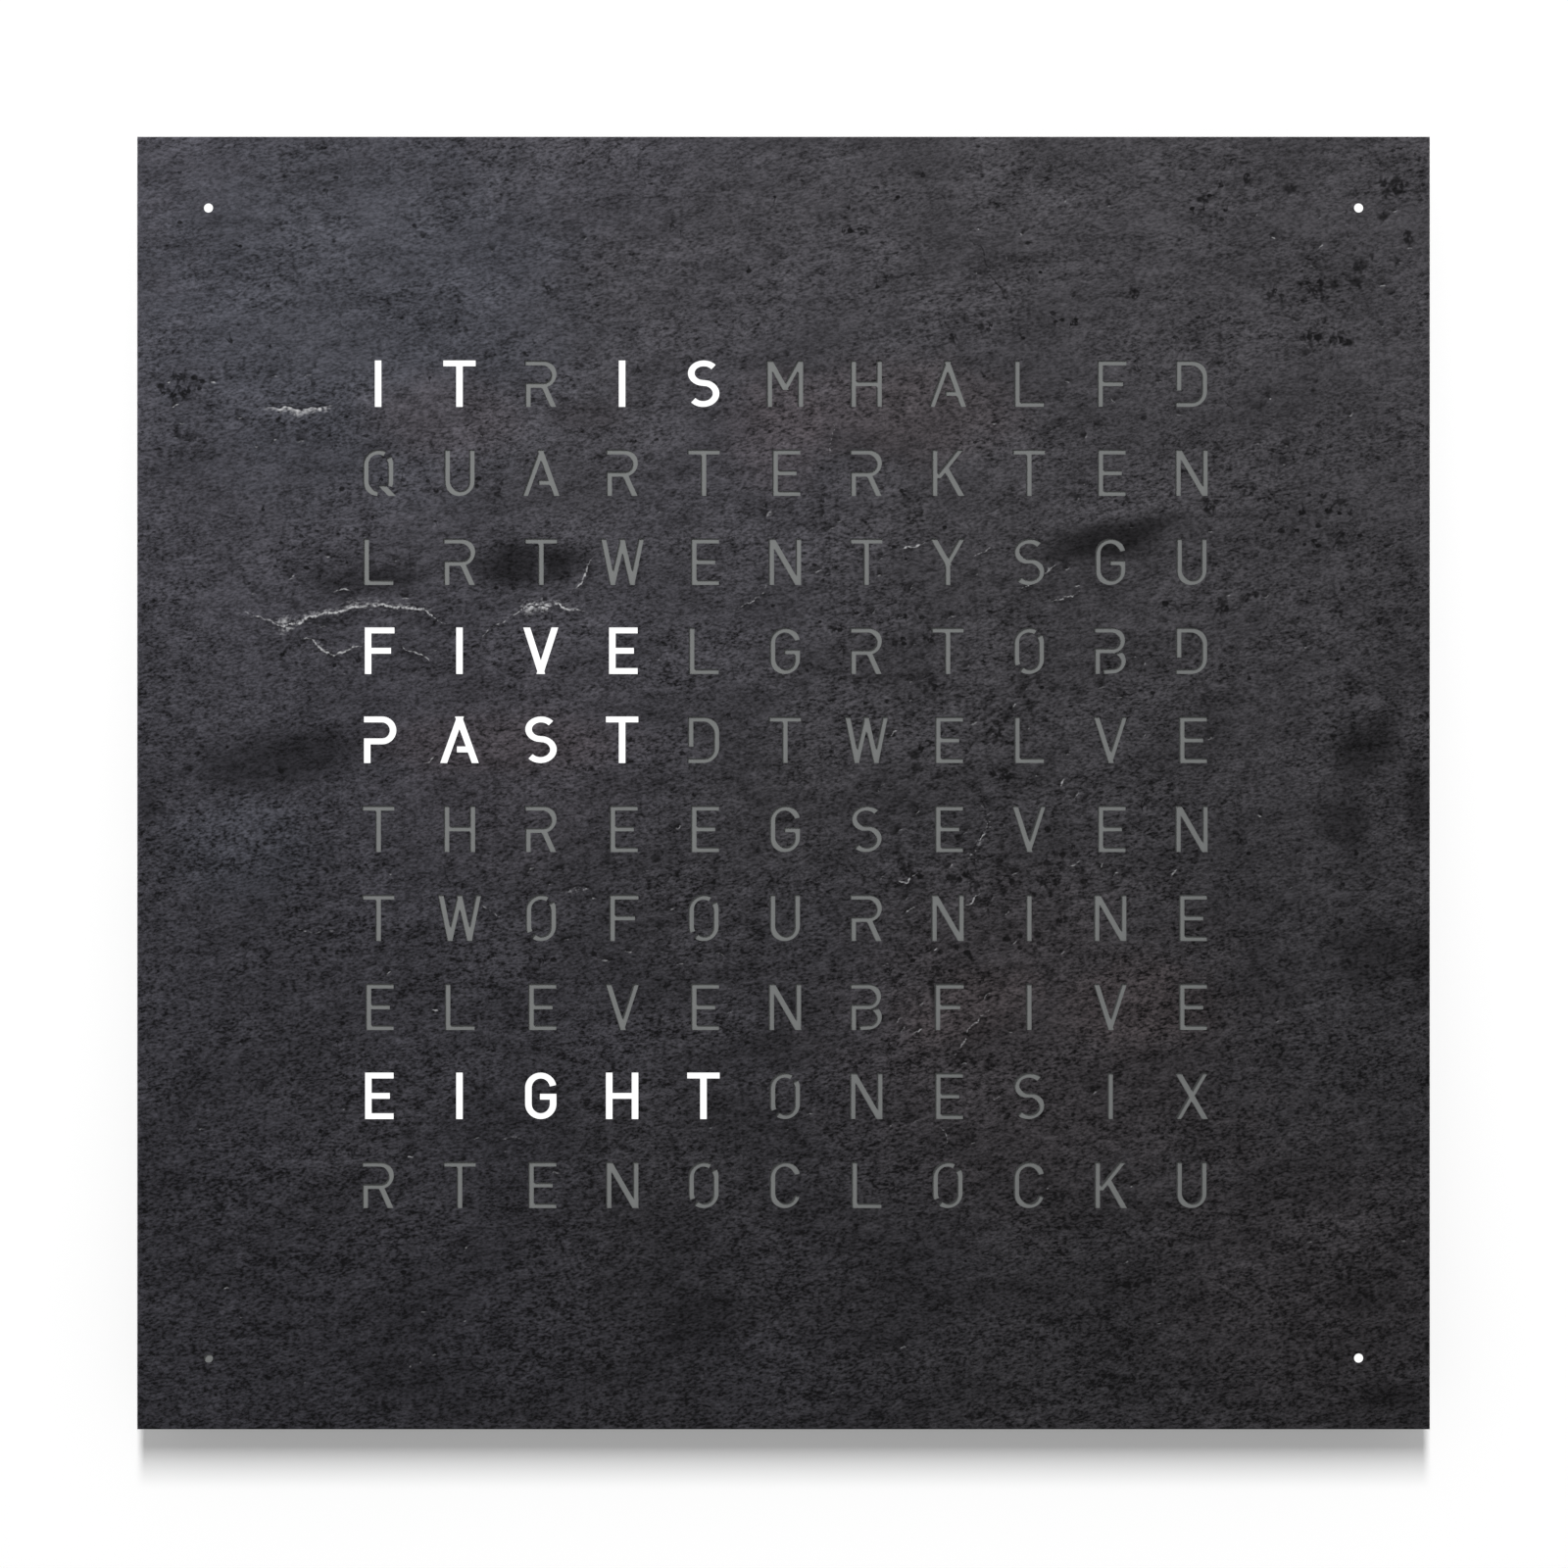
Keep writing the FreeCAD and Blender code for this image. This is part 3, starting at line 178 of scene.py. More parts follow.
class Finish(Nodes):
    # a material
    def __init__(self, name):
        self.material = bpy.data.materials.new(name)
        self.material.use_nodes = True
        super().__init__(self.material.node_tree)

    def place(self, stretch=(1, 1, 1), turned=(0, 0, 0)):
        # the point on the piece, in the frame's metres, stretched and turned for a pattern that has a run
        point = self.add("TexCoord", output="Object")
        return self.add("Mapping", {0: point, "Rotation": turned, "Scale": stretch}, vector_type="TEXTURE")

    def axes(self):
        # the point's own X, Y and Z
        node = self.add("SeparateXYZ", {0: self.add("TexCoord", output="Object")}).socket.node
        return [Value(self, axis) for axis in node.outputs]

    def grain(self, size, detail=2.0, rough=0.5, at=None):
        # noise from 0 to 1 whose features are about size across
        sockets = {"Vector": at or self.place(), "Scale": 1 / size, "Detail": detail, "Roughness": rough}
        return self.add("TexNoise", sockets)

    def cells(self, size, at=None, output="Distance", jumble=1.0, **settings):
        # cells about size across: how far the point is from its cell's middle, or a colour for each cell
        sockets = {"Vector": at or self.place(), "Scale": 1 / size, "Randomness": jumble}
        return self.add("TexVoronoi", sockets, output, **settings)

    def attribute(self, name):
        return self.add("Attribute", {}, "Fac", attribute_name=name)

    def between(self, value, low, high):
        # a smooth step of value from low to high
        return self.add("MapRange", {"Value": value, 1: low, 2: high}, interpolation_type="SMOOTHSTEP")

    def bands(self, value, pitch, share, soft=0.06):
        # 1 on bands that take up that share of each pitch
        return self.between(abs((value / pitch).fraction() - 0.5), 0.5 * share + soft, 0.5 * share - soft)

    def away(self, x, z):
        # how far the point is from a place on the face
        across, _, height = self.axes()
        return ((across - x) * (across - x) + (height - z) * (height - z)).root()

    def disc(self, x, z, radius):
        # 1 within radius of a place on the face
        soft = 0.05 * mm
        return self.between(self.away(x, z), radius + soft, radius - soft)

    def mix(self, share, first, second):
        return self.add("Mix", {0: share, 6: first, 7: second}, 2, data_type="RGBA")

    def tones(self, share, colour, low, high=1.0):
        # the colour, from one of its tones to another
        return self.mix(share, darker(colour, low), darker(colour, high))

    def done(self, colour, roughness, relief=None, depth=0.01 * mm, strength=0.5, **more):
        # the material, with a relief of that depth and strength on its surface
        sockets = {"Base Color": colour, "Roughness": roughness}
        if relief:
            sockets["Normal"] = self.add("Bump", {"Height": relief, "Distance": depth, "Strength": strength})
        names = {"metal": "Metallic", "shine": "Specular IOR Level", "glow": "Emission Color",
                 "glowStrength": "Emission Strength", "coat": "Coat Weight",
                 "coatRoughness": "Coat Roughness"}
        sockets.update({names[name]: value for name, value in more.items()})
        self.add("OutputMaterial", {"Surface": self.add("BsdfPrincipled", sockets)})
        return self.material


def addObject(name, data):
    thing = bpy.data.objects.new(name, data)
    scene.collection.objects.link(thing)
    return thing


# Camera, backdrop and light

view = {
    "distance": 2.6,  # from the cover's front
    "width": 545.9 * mm,  # what the frame takes in at the cover
    "aside": 0.17 * mm,
    "down": 0.34 * mm,
    "clip": (0.05, 20),
}


def makeCamera():
    data = bpy.data.cameras.new("camera")
    data.lens = data.sensor_width * view["distance"] / view["width"]
    data.clip_start, data.clip_end = view["clip"]
    scene.camera = addObject("camera", data)
    scene.camera.location = (view["aside"], stoneLow.y - view["distance"], -view["down"])
    scene.camera.rotation_euler = (math.radians(90), 0, 0)


room = {
    "wall": 6.0,  # sides of the wall and the floor
    "floorDrop": 0.95,  # from the clock's middle to the floor
    "gap": 0.3 * mm,  # from the back of the bracket and the bumpers to the paint
    "paint": 0.88,
    "lift": 0.21,  # what the camera sees of the paint on top of its light
    "floorLift": 0.3,
}


def paint(name, lift):
    # pale paint, which nothing shows of from behind
    finish = Finish(name)
    body = finish.add("BsdfDiffuse", {"Color": (room["paint"],) * 3 + (1.0,)})
    seen = finish.add("LightPath", output="Is Camera Ray")
    glow = finish.add("Emission", {"Color": (1, 1, 1, 1), "Strength": seen * lift})
    behind = finish.add("NewGeometry", output="Backfacing")
    clear = finish.add("BsdfTransparent")
    surface = finish.add("MixShader", {0: behind, 1: finish.add("AddShader", {0: body, 1: glow}), 2: clear})
    finish.add("OutputMaterial", {"Surface": surface})
    return finish.material


def makePlane(name, points, lift):
    mesh = bpy.data.meshes.new(name)
    mesh.from_pydata(points, [], [range(len(points))])
    mesh.materials.append(paint(name + "Paint", lift))
    plane = addObject(name, mesh)
    plane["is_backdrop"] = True
    plane.visible_diffuse = False
    plane.visible_shadow = False
    return plane


def makeRoom():
    half, drop = room["wall"] / 2, -room["floorDrop"]
    # each corner: where it is across, and whether it is at the plane's far end
    ends = [(-half, False), (half, False), (half, True), (-half, True)]
    wall = makePlane("wall", [(x, room["gap"], half if far else drop) for x, far in ends], room["lift"])
    floor = makePlane("floor", [(x, half if far else -half, drop) for x, far in ends], room["floorLift"])
    return wall, floor


light = {
    "around": 0.25,  # even light from the whole room
    # lamps: the level on a surface that faces the camera, the place and the size
    "key": (0.66, (-1.0, -1.5, 1.16), (0.5, 0.5)),
    "wall": (0.72, (0.0, -5.4, 2.95), (0.6, 2.7)),
    "back": (0.55, (-0.9, 1.6, 1.1), (1.2, 1.2)),
}


def lamp(name, onto):
    # an area lamp that lights a white surface at the middle, square to the camera's line, to that level
    level, place, size = light[name]
    place = Vector(place)
    data = bpy.data.lights.new(name + "Lamp", "AREA")
    data.shape = "RECTANGLE"
    data.size, data.size_y = size
    data.energy = level * math.pi ** 2 * place.length_squared / (abs(place.y) / place.length)
    lampObject = addObject(name + "Lamp", data)
    lampObject.location = place
    lampObject.rotation_euler = (-place).to_track_quat("-Z", "Y").to_euler()
    lampObject.visible_camera = False
    collection = bpy.data.collections.new("lit by the " + name + " lamp")
    for thing in onto:
        collection.objects.link(thing)
    lampObject.light_linking.receiver_collection = collection


def makeWorld():
    # the room's even light, and white where the camera, a shine or a clear piece looks past everything
    world = bpy.data.worlds.new("room")
    world.use_nodes = True
    scene.world = world
    sky = Nodes(world.node_tree)
    camera, glossy, clear = (sky.add("LightPath", output=f"Is {kind} Ray")
                             for kind in ("Camera", "Glossy", "Transmission"))
    seen = camera.maximum(glossy).maximum(clear)
    strength = sky.add("MapRange", {"Value": seen, "To Min": light["around"]})
    background = sky.add("Background", {"Color": (1, 1, 1, 1), "Strength": strength})
    sky.add("OutputWorld", {"Surface": background})


def makeLight(stagePlanes):
    pieces = [thing for thing in bpy.data.objects if thing.type == "MESH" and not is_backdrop(thing)]
    lamp("key", pieces)
    lamp("wall", stagePlanes)
    lamp("back", pieces)


# Letters, as strokes on a nib of two widths

letter = {
    "litPen": (2.3, 2.05),  # mm across an upright and across a level bar
    "darkPen": (1.95, 1.75),  # narrower, as an opening looks without its light
    "cap": 8.1,  # half of the letters' height, mm
    "round": 10,  # points in a quarter turn
    "aside": 0.43 * mm,  # the lettering's middle from the lights' middle
    "down": 0.43 * mm,
    "squeeze": 0.9972,  # the letters stand a little closer than the lights
}


def turn(x, z, radius, start, end):
    # points on an arc from start to end, in degrees
    steps = max(2, round(abs(end - start) / 90 * letter["round"]))
    angles = [math.radians(start + (end - start) * step / steps) for step in range(steps + 1)]
    across, up = radius if isinstance(radius, tuple) else (radius, radius)
    return [(x + across * math.cos(angle), z + up * math.sin(angle)) for angle in angles]


def ribbon(path):
    # the outline of a pen drawn along a path, with square ends
    across, up = letter["pen"][0] / 2, letter["pen"][1] / 2
    points = [Vector(p) for p in path]
    left, right = [], []
    for index, point in enumerate(points):
        before = (point - points[index - 1]).normalized() if index else None
        after = (points[index + 1] - point).normalized() if index < len(points) - 1 else None
        run = ((before or after) + (after or before)).normalized()
        side = Vector((-run.y, run.x))
        stretch = 1 / max(0.3, side.dot(Vector((-(after or before).y, (after or before).x))))
        offset = Vector((side.x * across, side.y * up)) * stretch
        left.append(point + offset)
        right.append(point - offset)
    return left + right[::-1]


def slant(xTop, zTop, xLow, zLow):
    # a leaning stroke with level ends
    half = letter["pen"][0] / 2 * math.hypot(1, (xTop - xLow) / (zTop - zLow))
    ends = (xTop - half, zTop), (xLow - half, zLow), (xLow + half, zLow), (xTop + half, zTop)
    return [Vector(end) for end in ends]


def drawLetters():
    cap = letter["cap"]
    top = cap - letter["pen"][1] / 2  # middle of a level bar at the top
    side = 4.5  # middle of the uprights of a square letter
    waist = -0.55
    bowl = (top - waist) / 2
    bend = 4.3  # radius of the round letters
    rise = top - bend

    def level(x0, x1, z):
        return ribbon([(x0, z), (x1, z)])

    def post(x):
        return ribbon([(x, cap), (x, -cap)])

    def bowlTo(z):
        return [(-side - 1.15, top)] + turn(side - bowl, (top + z) / 2, (top - z) / 2, 90, -90) + [(-side, z)]

    def oval(start, end):
        # over the top from start, down the left and along the foot to end
        return turn(0, rise, bend, start, 180) + turn(0, -rise, bend, 180, end)

    return {
        "A": [slant(0.35, cap, -5.5, -cap), slant(-0.35, cap, 5.5, -cap), level(-0.9, 3.2, -3.35)],
        "B": [ribbon(bowlTo(waist + 0.6) + [(-side, -cap)]),
              ribbon([(1.6, waist + 0.6)] + turn(side - 3.85, -3.5, (3.85, 3.55), 88, -90) + [(-2.5, -top)])],
        "C": [ribbon(oval(10, 350))],
        "D": [ribbon([(-side, -2.4), (-side, top)] + turn(side - 4.6, top - 4.6, 4.6, 90, 0)
                     + turn(side - 4.6, 4.6 - top, 4.6, 0, -90) + [(-side - 1.15, -top)])],
        "E": [ribbon([(5.4, top), (-3.4, top), (-3.4, -top), (5.4, -top)]), level(-3.4, 4.1, 0)],
        "F": [ribbon([(5.7, top), (-3.5, top), (-3.5, -cap)]), level(-3.5, 4.5, 0)],
        "G": [ribbon(oval(10, 360) + [(bend, -0.3), (-0.3, -0.3)])],
        "H": [post(-side), post(side), level(-side, side, 0)],
        "I": [post(0)],
        "K": [post(-side), slant(4.4, cap, -3.6, -1.9), slant(-0.7, 1.6, 4.8, -cap)],
        "L": [ribbon([(-4.15, cap), (-4.15, -top), (5.3, -top)])],
        "M": [post(-5.4), post(5.4), slant(-5.4, cap, 0.3, -2.2), slant(5.4, cap, -0.3, -2.2)],
        "N": [post(-4.7), post(4.7), slant(-4.7, cap, 4.7, -cap)],
        "O": [ribbon(oval(57, 208)), ribbon(turn(0, -rise, bend, 229, 360) + turn(0, rise, bend, 0, 36))],
        "P": [ribbon([(x + 0.7, z) for x, z in bowlTo(waist) + [(-side, -cap)]])],
        "Q": [ribbon(oval(57, 268)), ribbon(turn(0, rise, bend, 36, 0) + turn(0, -rise, bend, 0, -24)),
              slant(1.2, -4.3, 4.9, -cap)],
        "R": [ribbon(bowlTo(waist) + [(-side, -cap)]), slant(0.9, waist, 4.3, -cap)],
        "S": [ribbon(turn(0.1, 3.65, (4.35, top - 3.65), 38, 253)
                     + turn(-0.1, -3.4, (4.5, top - 3.4), 73, -140))],
        "T": [level(-5.65, 5.65, top), post(0)],
        "U": [ribbon([(-bend, cap)] + turn(0, -rise, bend, 180, 360) + [(bend, cap)])],
        "V": [slant(-4.9, cap, 0.3, -cap), slant(4.9, cap, -0.3, -cap)],
        "W": [slant(-6.6, cap, -3.3, -cap), slant(0.2, cap, -3.5, -cap), slant(-0.2, cap, 3.5, -cap),
              slant(6.6, cap, 3.3, -cap)],
        "X": [slant(-4.7, cap, 4.7, -cap), slant(4.7, cap, -4.7, -cap)],
        "Y": [slant(-4.9, cap, 0.4, -1.2), slant(4.9, cap, -0.4, -1.2), ribbon([(0, 0.2), (0, -cap)])],
    }


def around(ring):
    # each item with the next, and the last with the first
    return zip(ring, ring[1:] + ring[:1])


def anticlockwise(outline):
    area = sum(a.x * b.y - b.x * a.y for a, b in around(outline))
    return outline if area > 0 else outline[::-1]


def cutOutlines():
    # every cut through the stone, as (outline in metres, whether its light is on)
    strokes = {}
    for lit, pen in ((True, "litPen"), (False, "darkPen")):
        letter["pen"] = letter[pen]
        strokes[lit] = drawLetters()
    cuts = []
    for row, word in enumerate(dial["rows"]):
        for column, name in enumerate(word):
            at = Vector((columnX(column) * letter["squeeze"] + letter["aside"], rowZ(row) - letter["down"]))
            lit = isLit(row, column)
            for stroke in strokes[lit][name]:
                cuts.append((anticlockwise([at + point * mm for point in stroke]), lit))
    for corner in corners:
        centre = middle("minute_shaft_" + corner)
        ring = turn(centre.x, centre.z, slate["dot"] / 2, 0, 360)[:-1]
        cuts.append(([Vector(point) for point in ring], corner in litCorners))
    return cuts


# The slate: its face is cleft, so it rises and falls a little, with seams, cracks, flakes and stains

slate = {
    "dot": 3.2 * mm,  # corner lights
    "mesh": 1.85 * mm,  # spacing of the points between the features
    "jitter": 0.32,  # how far each of them may be off its place, as a share of the spacing
    "cell": 0.62,  # side of the cells that keep features apart, as a share of the spacing
    "merge": (1e-8, 1e-9),  # points nearer than this become one, in the face and in its back
    "sharp": 38,  # degrees between faces from which an edge is sharp
    "swell": 0.16 * mm,  # how much the broad shape moves in and out
    "ripple": 0.05 * mm,
    "edge": 0.25 * mm,  # broken front edge
    "edgeSteps": 200,  # points along a side
    "edgeChips": [0, 0, 0.05, 0.12, 0.3],  # how far the edge may be broken back, mm
    "skin": 0.03 * mm,  # the least that the face lies behind the plane of its highest points
    "deepest": 0.42 * mm,
    "broadDeepest": 0.36 * mm,  # for the broad shape alone
    "wander": 0.16,  # how far a line may stray, as a share of each run
    "finest": 1.1 * mm,  # longest run in a line
    "recess": 0.92 * mm,  # from the plane of the face to the filling of the letters
    "waves": {  # in a metre across and up, then the noise's shift, layer, roughness, step and octaves
        "swell": (9, 14, 0, 3.1, 0.9, 2.2, 4),
        "ripple": (90, 150, 5, 8.4, 0.8, 2.1, 3),
        "stain": (100, 160, 0, 0.7, 0.7, 2.0, 4),
    },
    "flakeRings": ((0.72, 1.0), (1.05, 0.0)),  # of the flake's size, with the share of its depth there
    "flakeSides": 6,
    "stainFade": (0.5, 1.45),  # where a stain is whole and where it ends, as shares of its reach
    "darkest": -0.85,  # the most that stains together take off
    "seed": 7,
    "strays": 220,  # small flakes all over
    "margin": 10 * mm,  # that they keep from the sides
    # places are in mm about the clock's middle
    "seams": [  # thin ridges with a painted highlight and painted shade below them: points, half width, rise, painted highlight, ragged painted highlight beside it
        ([(-191, 58.6), (-183, 58), (-176, 55), (-169, 55.5), (-163, 58), (-156, 59.3), (-149, 61.5),
          (-139, 62.2), (-131, 61), (-124.5, 60), (-121, 57), (-116, 55.5)], 0.6, 0.11, 1.0, 0.35),
        ([(-177, 55.3), (-174, 54.2), (-170, 54)], 1.2, 0.12, 1.0, 0.8),
        ([(-157.5, 66), (-153, 67.6), (-147, 65.6)], 0.45, 0.08, 0.55, 0.1),
        ([(-169, 50.7), (-163.5, 49.3), (-159.7, 45.7), (-156, 44.5), (-150, 47.3), (-147, 47.6)],
         0.55, 0.09, 0.9, 0.2),
        ([(-133, 48.6), (-127.5, 45), (-122.5, 42)], 0.5, 0.08, 0.75, 0.1),
        ([(-96, 57.5), (-91, 60.7), (-85, 62.2), (-78.5, 62.6), (-73, 60), (-68.5, 59.3)],
         0.6, 0.12, 1.0, 0.35),
        ([(-92, 60), (-86, 61.6), (-80, 62)], 1.3, 0.12, 1.0, 0.8),
        ([(-95, 58), (-100, 55), (-105, 49.3)], 0.45, 0.07, 0.6, 0.1),
        ([(-74.2, 66.5), (-70, 70), (-68.5, 74.4), (-66.3, 78.7)], 0.45, 0.08, 0.85, 0.2),
        ([(-19.7, 60.8), (-11, 63), (-6.7, 66.5), (-6, 69.5)], 0.4, 0.06, 0.5, 0.1),
        ([(17.4, 127.6), (16.3, 119), (15.7, 113)], 0.35, 0.05, 0.4, 0.1),
        ([(40.4, 81.4), (43.5, 82.4), (49.7, 84)], 0.6, 0.1, 0.9, 0.2),
        ([(66, 78.5), (74, 82.5)], 0.45, 0.07, 0.6, 0.1),
        ([(82.5, 67.6), (86.3, 69.4), (92, 73.7), (95.7, 76.8)], 0.5, 0.09, 0.85, 0.2),
        ([(92, 63.4), (97.8, 64.8), (103, 66.6)], 0.5, 0.08, 0.7, 0.1),
        ([(57.6, -96.4), (63.4, -87.6), (67.7, -83.3), (74.8, -77.3)], 0.45, 0.07, 0.55, 0.1),
        ([(62, -43), (66, -41), (69, -38)], 0.5, 0.1, 0.75, 0.1),
        ([(98.5, -29.5), (103.5, -27)], 0.5, 0.09, 0.7, 0.1),
        ([(135, -32.5), (137.5, -30)], 0.5, 0.09, 0.7, 0.1),
        ([(38, -35), (43, -35), (47.5, -30)], 0.5, 0.1, 0.7, 0.1),
        ([(66.5, -21), (70, -18), (72, -12)], 0.5, 0.1, 0.8, 0.2),
        ([(-107, -41), (-101.5, -45), (-98, -46.7)], 0.4, 0.06, 0.55, 0.1),
        ([(-169.7, -51), (-163, -52.3), (-153, -52)], 0.4, 0.05, 0.45, 0.1),
        ([(-98.6, -124.2), (-91, -123.8)], 0.4, 0.06, 0.5, 0.1),
        ([(-120.5, 10), (-123, 7.5), (-126, 7)], 0.4, 0.06, 0.5, 0.1),
        ([(54, -119), (57, -124), (55, -129)], 0.4, 0.06, 0.4, 0.1),
        ([(70, -112), (77, -109)], 0.4, 0.06, 0.4, 0.1),
    ],
    "cracks": [  # lines with painted shade in them: points, half width, depth, painted highlight on the lower lip
        ([(-183.5, 130.6), (-175.5, 130.5), (-168, 130.2), (-161.5, 131), (-154.5, 132.2)], 0.6, 0.22, 0.8),
        ([(-180, 131.5), (-172, 132), (-163, 132.4)], 0.5, 0.1, 0.3),
        ([(63.4, 192), (68.4, 187), (72, 179), (76.3, 170.6), (78.4, 166)], 0.4, 0.12, 0.0),
        ([(88, 121), (93, 122.8), (98.5, 126), (103, 128)], 0.5, 0.12, 0.1),
        ([(153.5, 133), (157, 129.5)], 0.4, 0.1, 0.0),
        ([(-118.7, -28), (-116, -35.2)], 0.35, 0.12, 0.0),
        ([(-79, -38.2), (-74, -36.2), (-69, -35.8), (-64, -36.8)], 0.7, 0.2, 0.35),
        ([(67.5, 0), (70, -8), (71.5, -15), (67, -21), (66.5, -28), (67, -33)], 0.7, 0.18, 0.3),
        ([(72.5, -38), (71.5, -46)], 0.6, 0.15, 0.2),
        ([(36.8, -89), (37.5, -95)], 0.5, 0.12, 0.1),
        ([(43.5, -95), (43, -103)], 0.5, 0.12, 0.1),
        ([(-6.5, 99), (-5.6, 95), (-6.4, 90.5)], 1.1, 0.24, 0.4),
        ([(61, -149), (58.5, -157)], 0.4, 0.08, 0.1),
        ([(-214.5, -108), (-213.5, -114)], 0.5, 0.1, 0.0),
    ],
    "nicks": [  # groups of short strokes with painted shade and a painted highlight on the lip: middle, reach, how many, lean in degrees, length
        ((75, -8), (46, 42), 120, 40, 4.6), ((60, -60), (38, 30), 60, 42, 4.2),
        ((45, 55), (38, 38), 60, 32, 3.6), ((125, 60), (24, 46), 32, 25, 3.2),
        ((180, 150), (38, 50), 40, 20, 2.8), ((72, 178), (12, 16), 12, -55, 3.0),
        ((110, 130), (40, 16), 16, 20, 2.6), ((-80, -40), (60, 40), 50, 10, 3.8),
        ((-150, 60), (40, 22), 22, 6, 3.0), ((-190, 130), (26, 14), 20, 12, 3.0),
        ((20, -140), (120, 60), 40, 20, 2.8), ((-140, -150), (70, 60), 24, 10, 3.0),
        ((0, 0), (215, 215), 130, 12, 2.4),
    ],
    "flakes": [  # groups of small broken pits: middle, reach, how many, their size
        ((-210, 138.5), (9, 3.6), 26, 0.75), ((21.7, 191.4), (2, 2), 3, 0.8),
        ((71, 158.8), (4, 1.5), 4, 0.7), ((59, 154), (1, 2), 2, 0.8), ((162, 210.8), (3, 1), 3, 0.7),
        ((176, 207.9), (1.5, 1.5), 3, 1.1), ((148, 199.3), (6, 6), 7, 0.7), ((212, 207.5), (5, 2.5), 7, 1.1),
        ((209, 197), (1, 1), 2, 1.0), ((217.5, 191), (1, 4), 4, 0.9), ((199.5, 177), (2, 3.5), 5, 1.1),
        ((185, 172.5), (8, 2), 8, 0.9), ((172.5, 170.6), (3, 2), 4, 0.9), ((189, 154.6), (10, 1.6), 18, 1.0),
        ((122, 169.9), (1, 1.5), 2, 0.9), ((98, 163), (7, 4), 9, 0.6), ((135.8, 156), (1, 1), 2, 0.8),
        ((147, 97), (4, 3), 5, 0.9), ((185, 91), (13, 11), 16, 0.7), ((163.9, 65.8), (2.5, 1), 3, 1.1),
        ((134, 63), (1.5, 1.5), 3, 0.8), ((153, 62), (2, 3), 4, 0.8), ((53, 35.5), (2, 2.5), 4, 0.9),
        ((41, 49.5), (3, 1.5), 4, 0.9), ((74.5, 19), (4, 2.5), 9, 0.9), ((46, 9), (3, 4), 5, 1.0),
        ((80, 3), (9, 1.5), 6, 0.9), ((62.5, -33.5), (6, 3), 12, 1.0), ((44.5, -31.5), (3.5, 2.5), 6, 1.0),
        ((92, -33), (4, 2), 7, 1.0), ((103.5, -33.7), (2, 1.5), 4, 1.0), ((85, -52), (10, 6), 12, 0.8),
        ((97, -48.5), (1, 2.5), 4, 0.9), ((80, -28), (26, 14), 24, 0.7), ((58, -62), (16, 12), 14, 0.7),
        ((160.8, -20), (2, 1), 3, 0.9), ((124, -175), (5, 5), 6, 0.8), ((115, -208), (9, 3), 14, 0.9),
        ((-82, -61.5), (3, 2), 6, 0.8), ((-118, 103), (30, 4), 10, 0.6), ((-170, 75), (20, 10), 10, 0.6),
        ((40, 60), (30, 25), 20, 0.6),
    ],
    "stains": [  # soft patches: middle, reach, turn in degrees, how much lighter, how much redder
        ((-88, 77), (20, 7.5), 4, -0.8, 0.0), ((-136, 71.5), (11, 4), 0, -0.55, 0.0),
        ((-153, 69.5), (12, 5), 0, -0.45, 0.0), ((114, 85), (25, 6.5), 10, -0.74, 0.0),
        ((203, 12), (15, 9), 50, -0.6, 0.0), ((-172, 8), (28, 9), 8, -0.55, 0.0),
        ((195, -15), (9, 9), 0, -0.5, 0.0), ((204, -60), (14, 13), 0, -0.36, 0.0),
        ((204, -177), (12, 9), 0, -0.34, 0.0), ((212, -214), (13, 4), 0, -0.45, 0.0),
        ((222, -62), (4, 14), 0, -0.4, 0.0), ((-221, -7), (4, 6), 0, -0.5, 0.0),
        ((-133, -207), (15, 7), 0, -0.32, 0.0), ((-27, -187), (15, 10), 0, -0.3, 0.0),
        ((221, -9), (4, 14), 0, -0.45, 0.0), ((-70, 128), (14, 5), 0, -0.25, 0.2),
        ((122, -100), (30, 8), 5, -0.2, 0.0), ((65, -78), (24, 11), 15, 0.2, 0.5),
        ((124, -78), (26, 14), 0, 0.06, 0.55), ((-118, 128), (26, 14), 0, 0.0, 0.5),
        ((-4, 122), (16, 20), 10, 0.1, 0.4), ((-100, 14), (40, 10), 0, 0.02, 0.45),
        ((-188, -24), (26, 18), 0, 0.08, -0.25), ((-150, 165), (75, 60), 0, 0.1, -0.3),
        ((40, 130), (40, 16), 0, 0.02, 0.5), ((-92, 6), (45, 36), 0, 0.17, 0.15),
        ((-40, 92), (130, 52), 0, 0.07, 0.0), ((88, -92), (70, 55), 0, 0.13, 0.3),
        ((180, -172), (50, 50), 0, 0.14, 0.2),
    ],
}


def waves(name, x, z):
    across, up, shift, layer, rough, step, octaves = slate["waves"][name]
    return noise.fractal(Vector((x * across + shift, z * up, layer)), rough, step, octaves)


def broadShape(x, z):
    # how far the cleft face lies behind its highest points, away from any feature
    swell, ripple = waves("swell", x, z), waves("ripple", x, z)
    depth = slate["swell"] * (0.5 - 0.5 * swell) + slate["ripple"] * (1 - ripple)
    return slate["skin"] + min(max(depth, 0), slate["broadDeepest"])


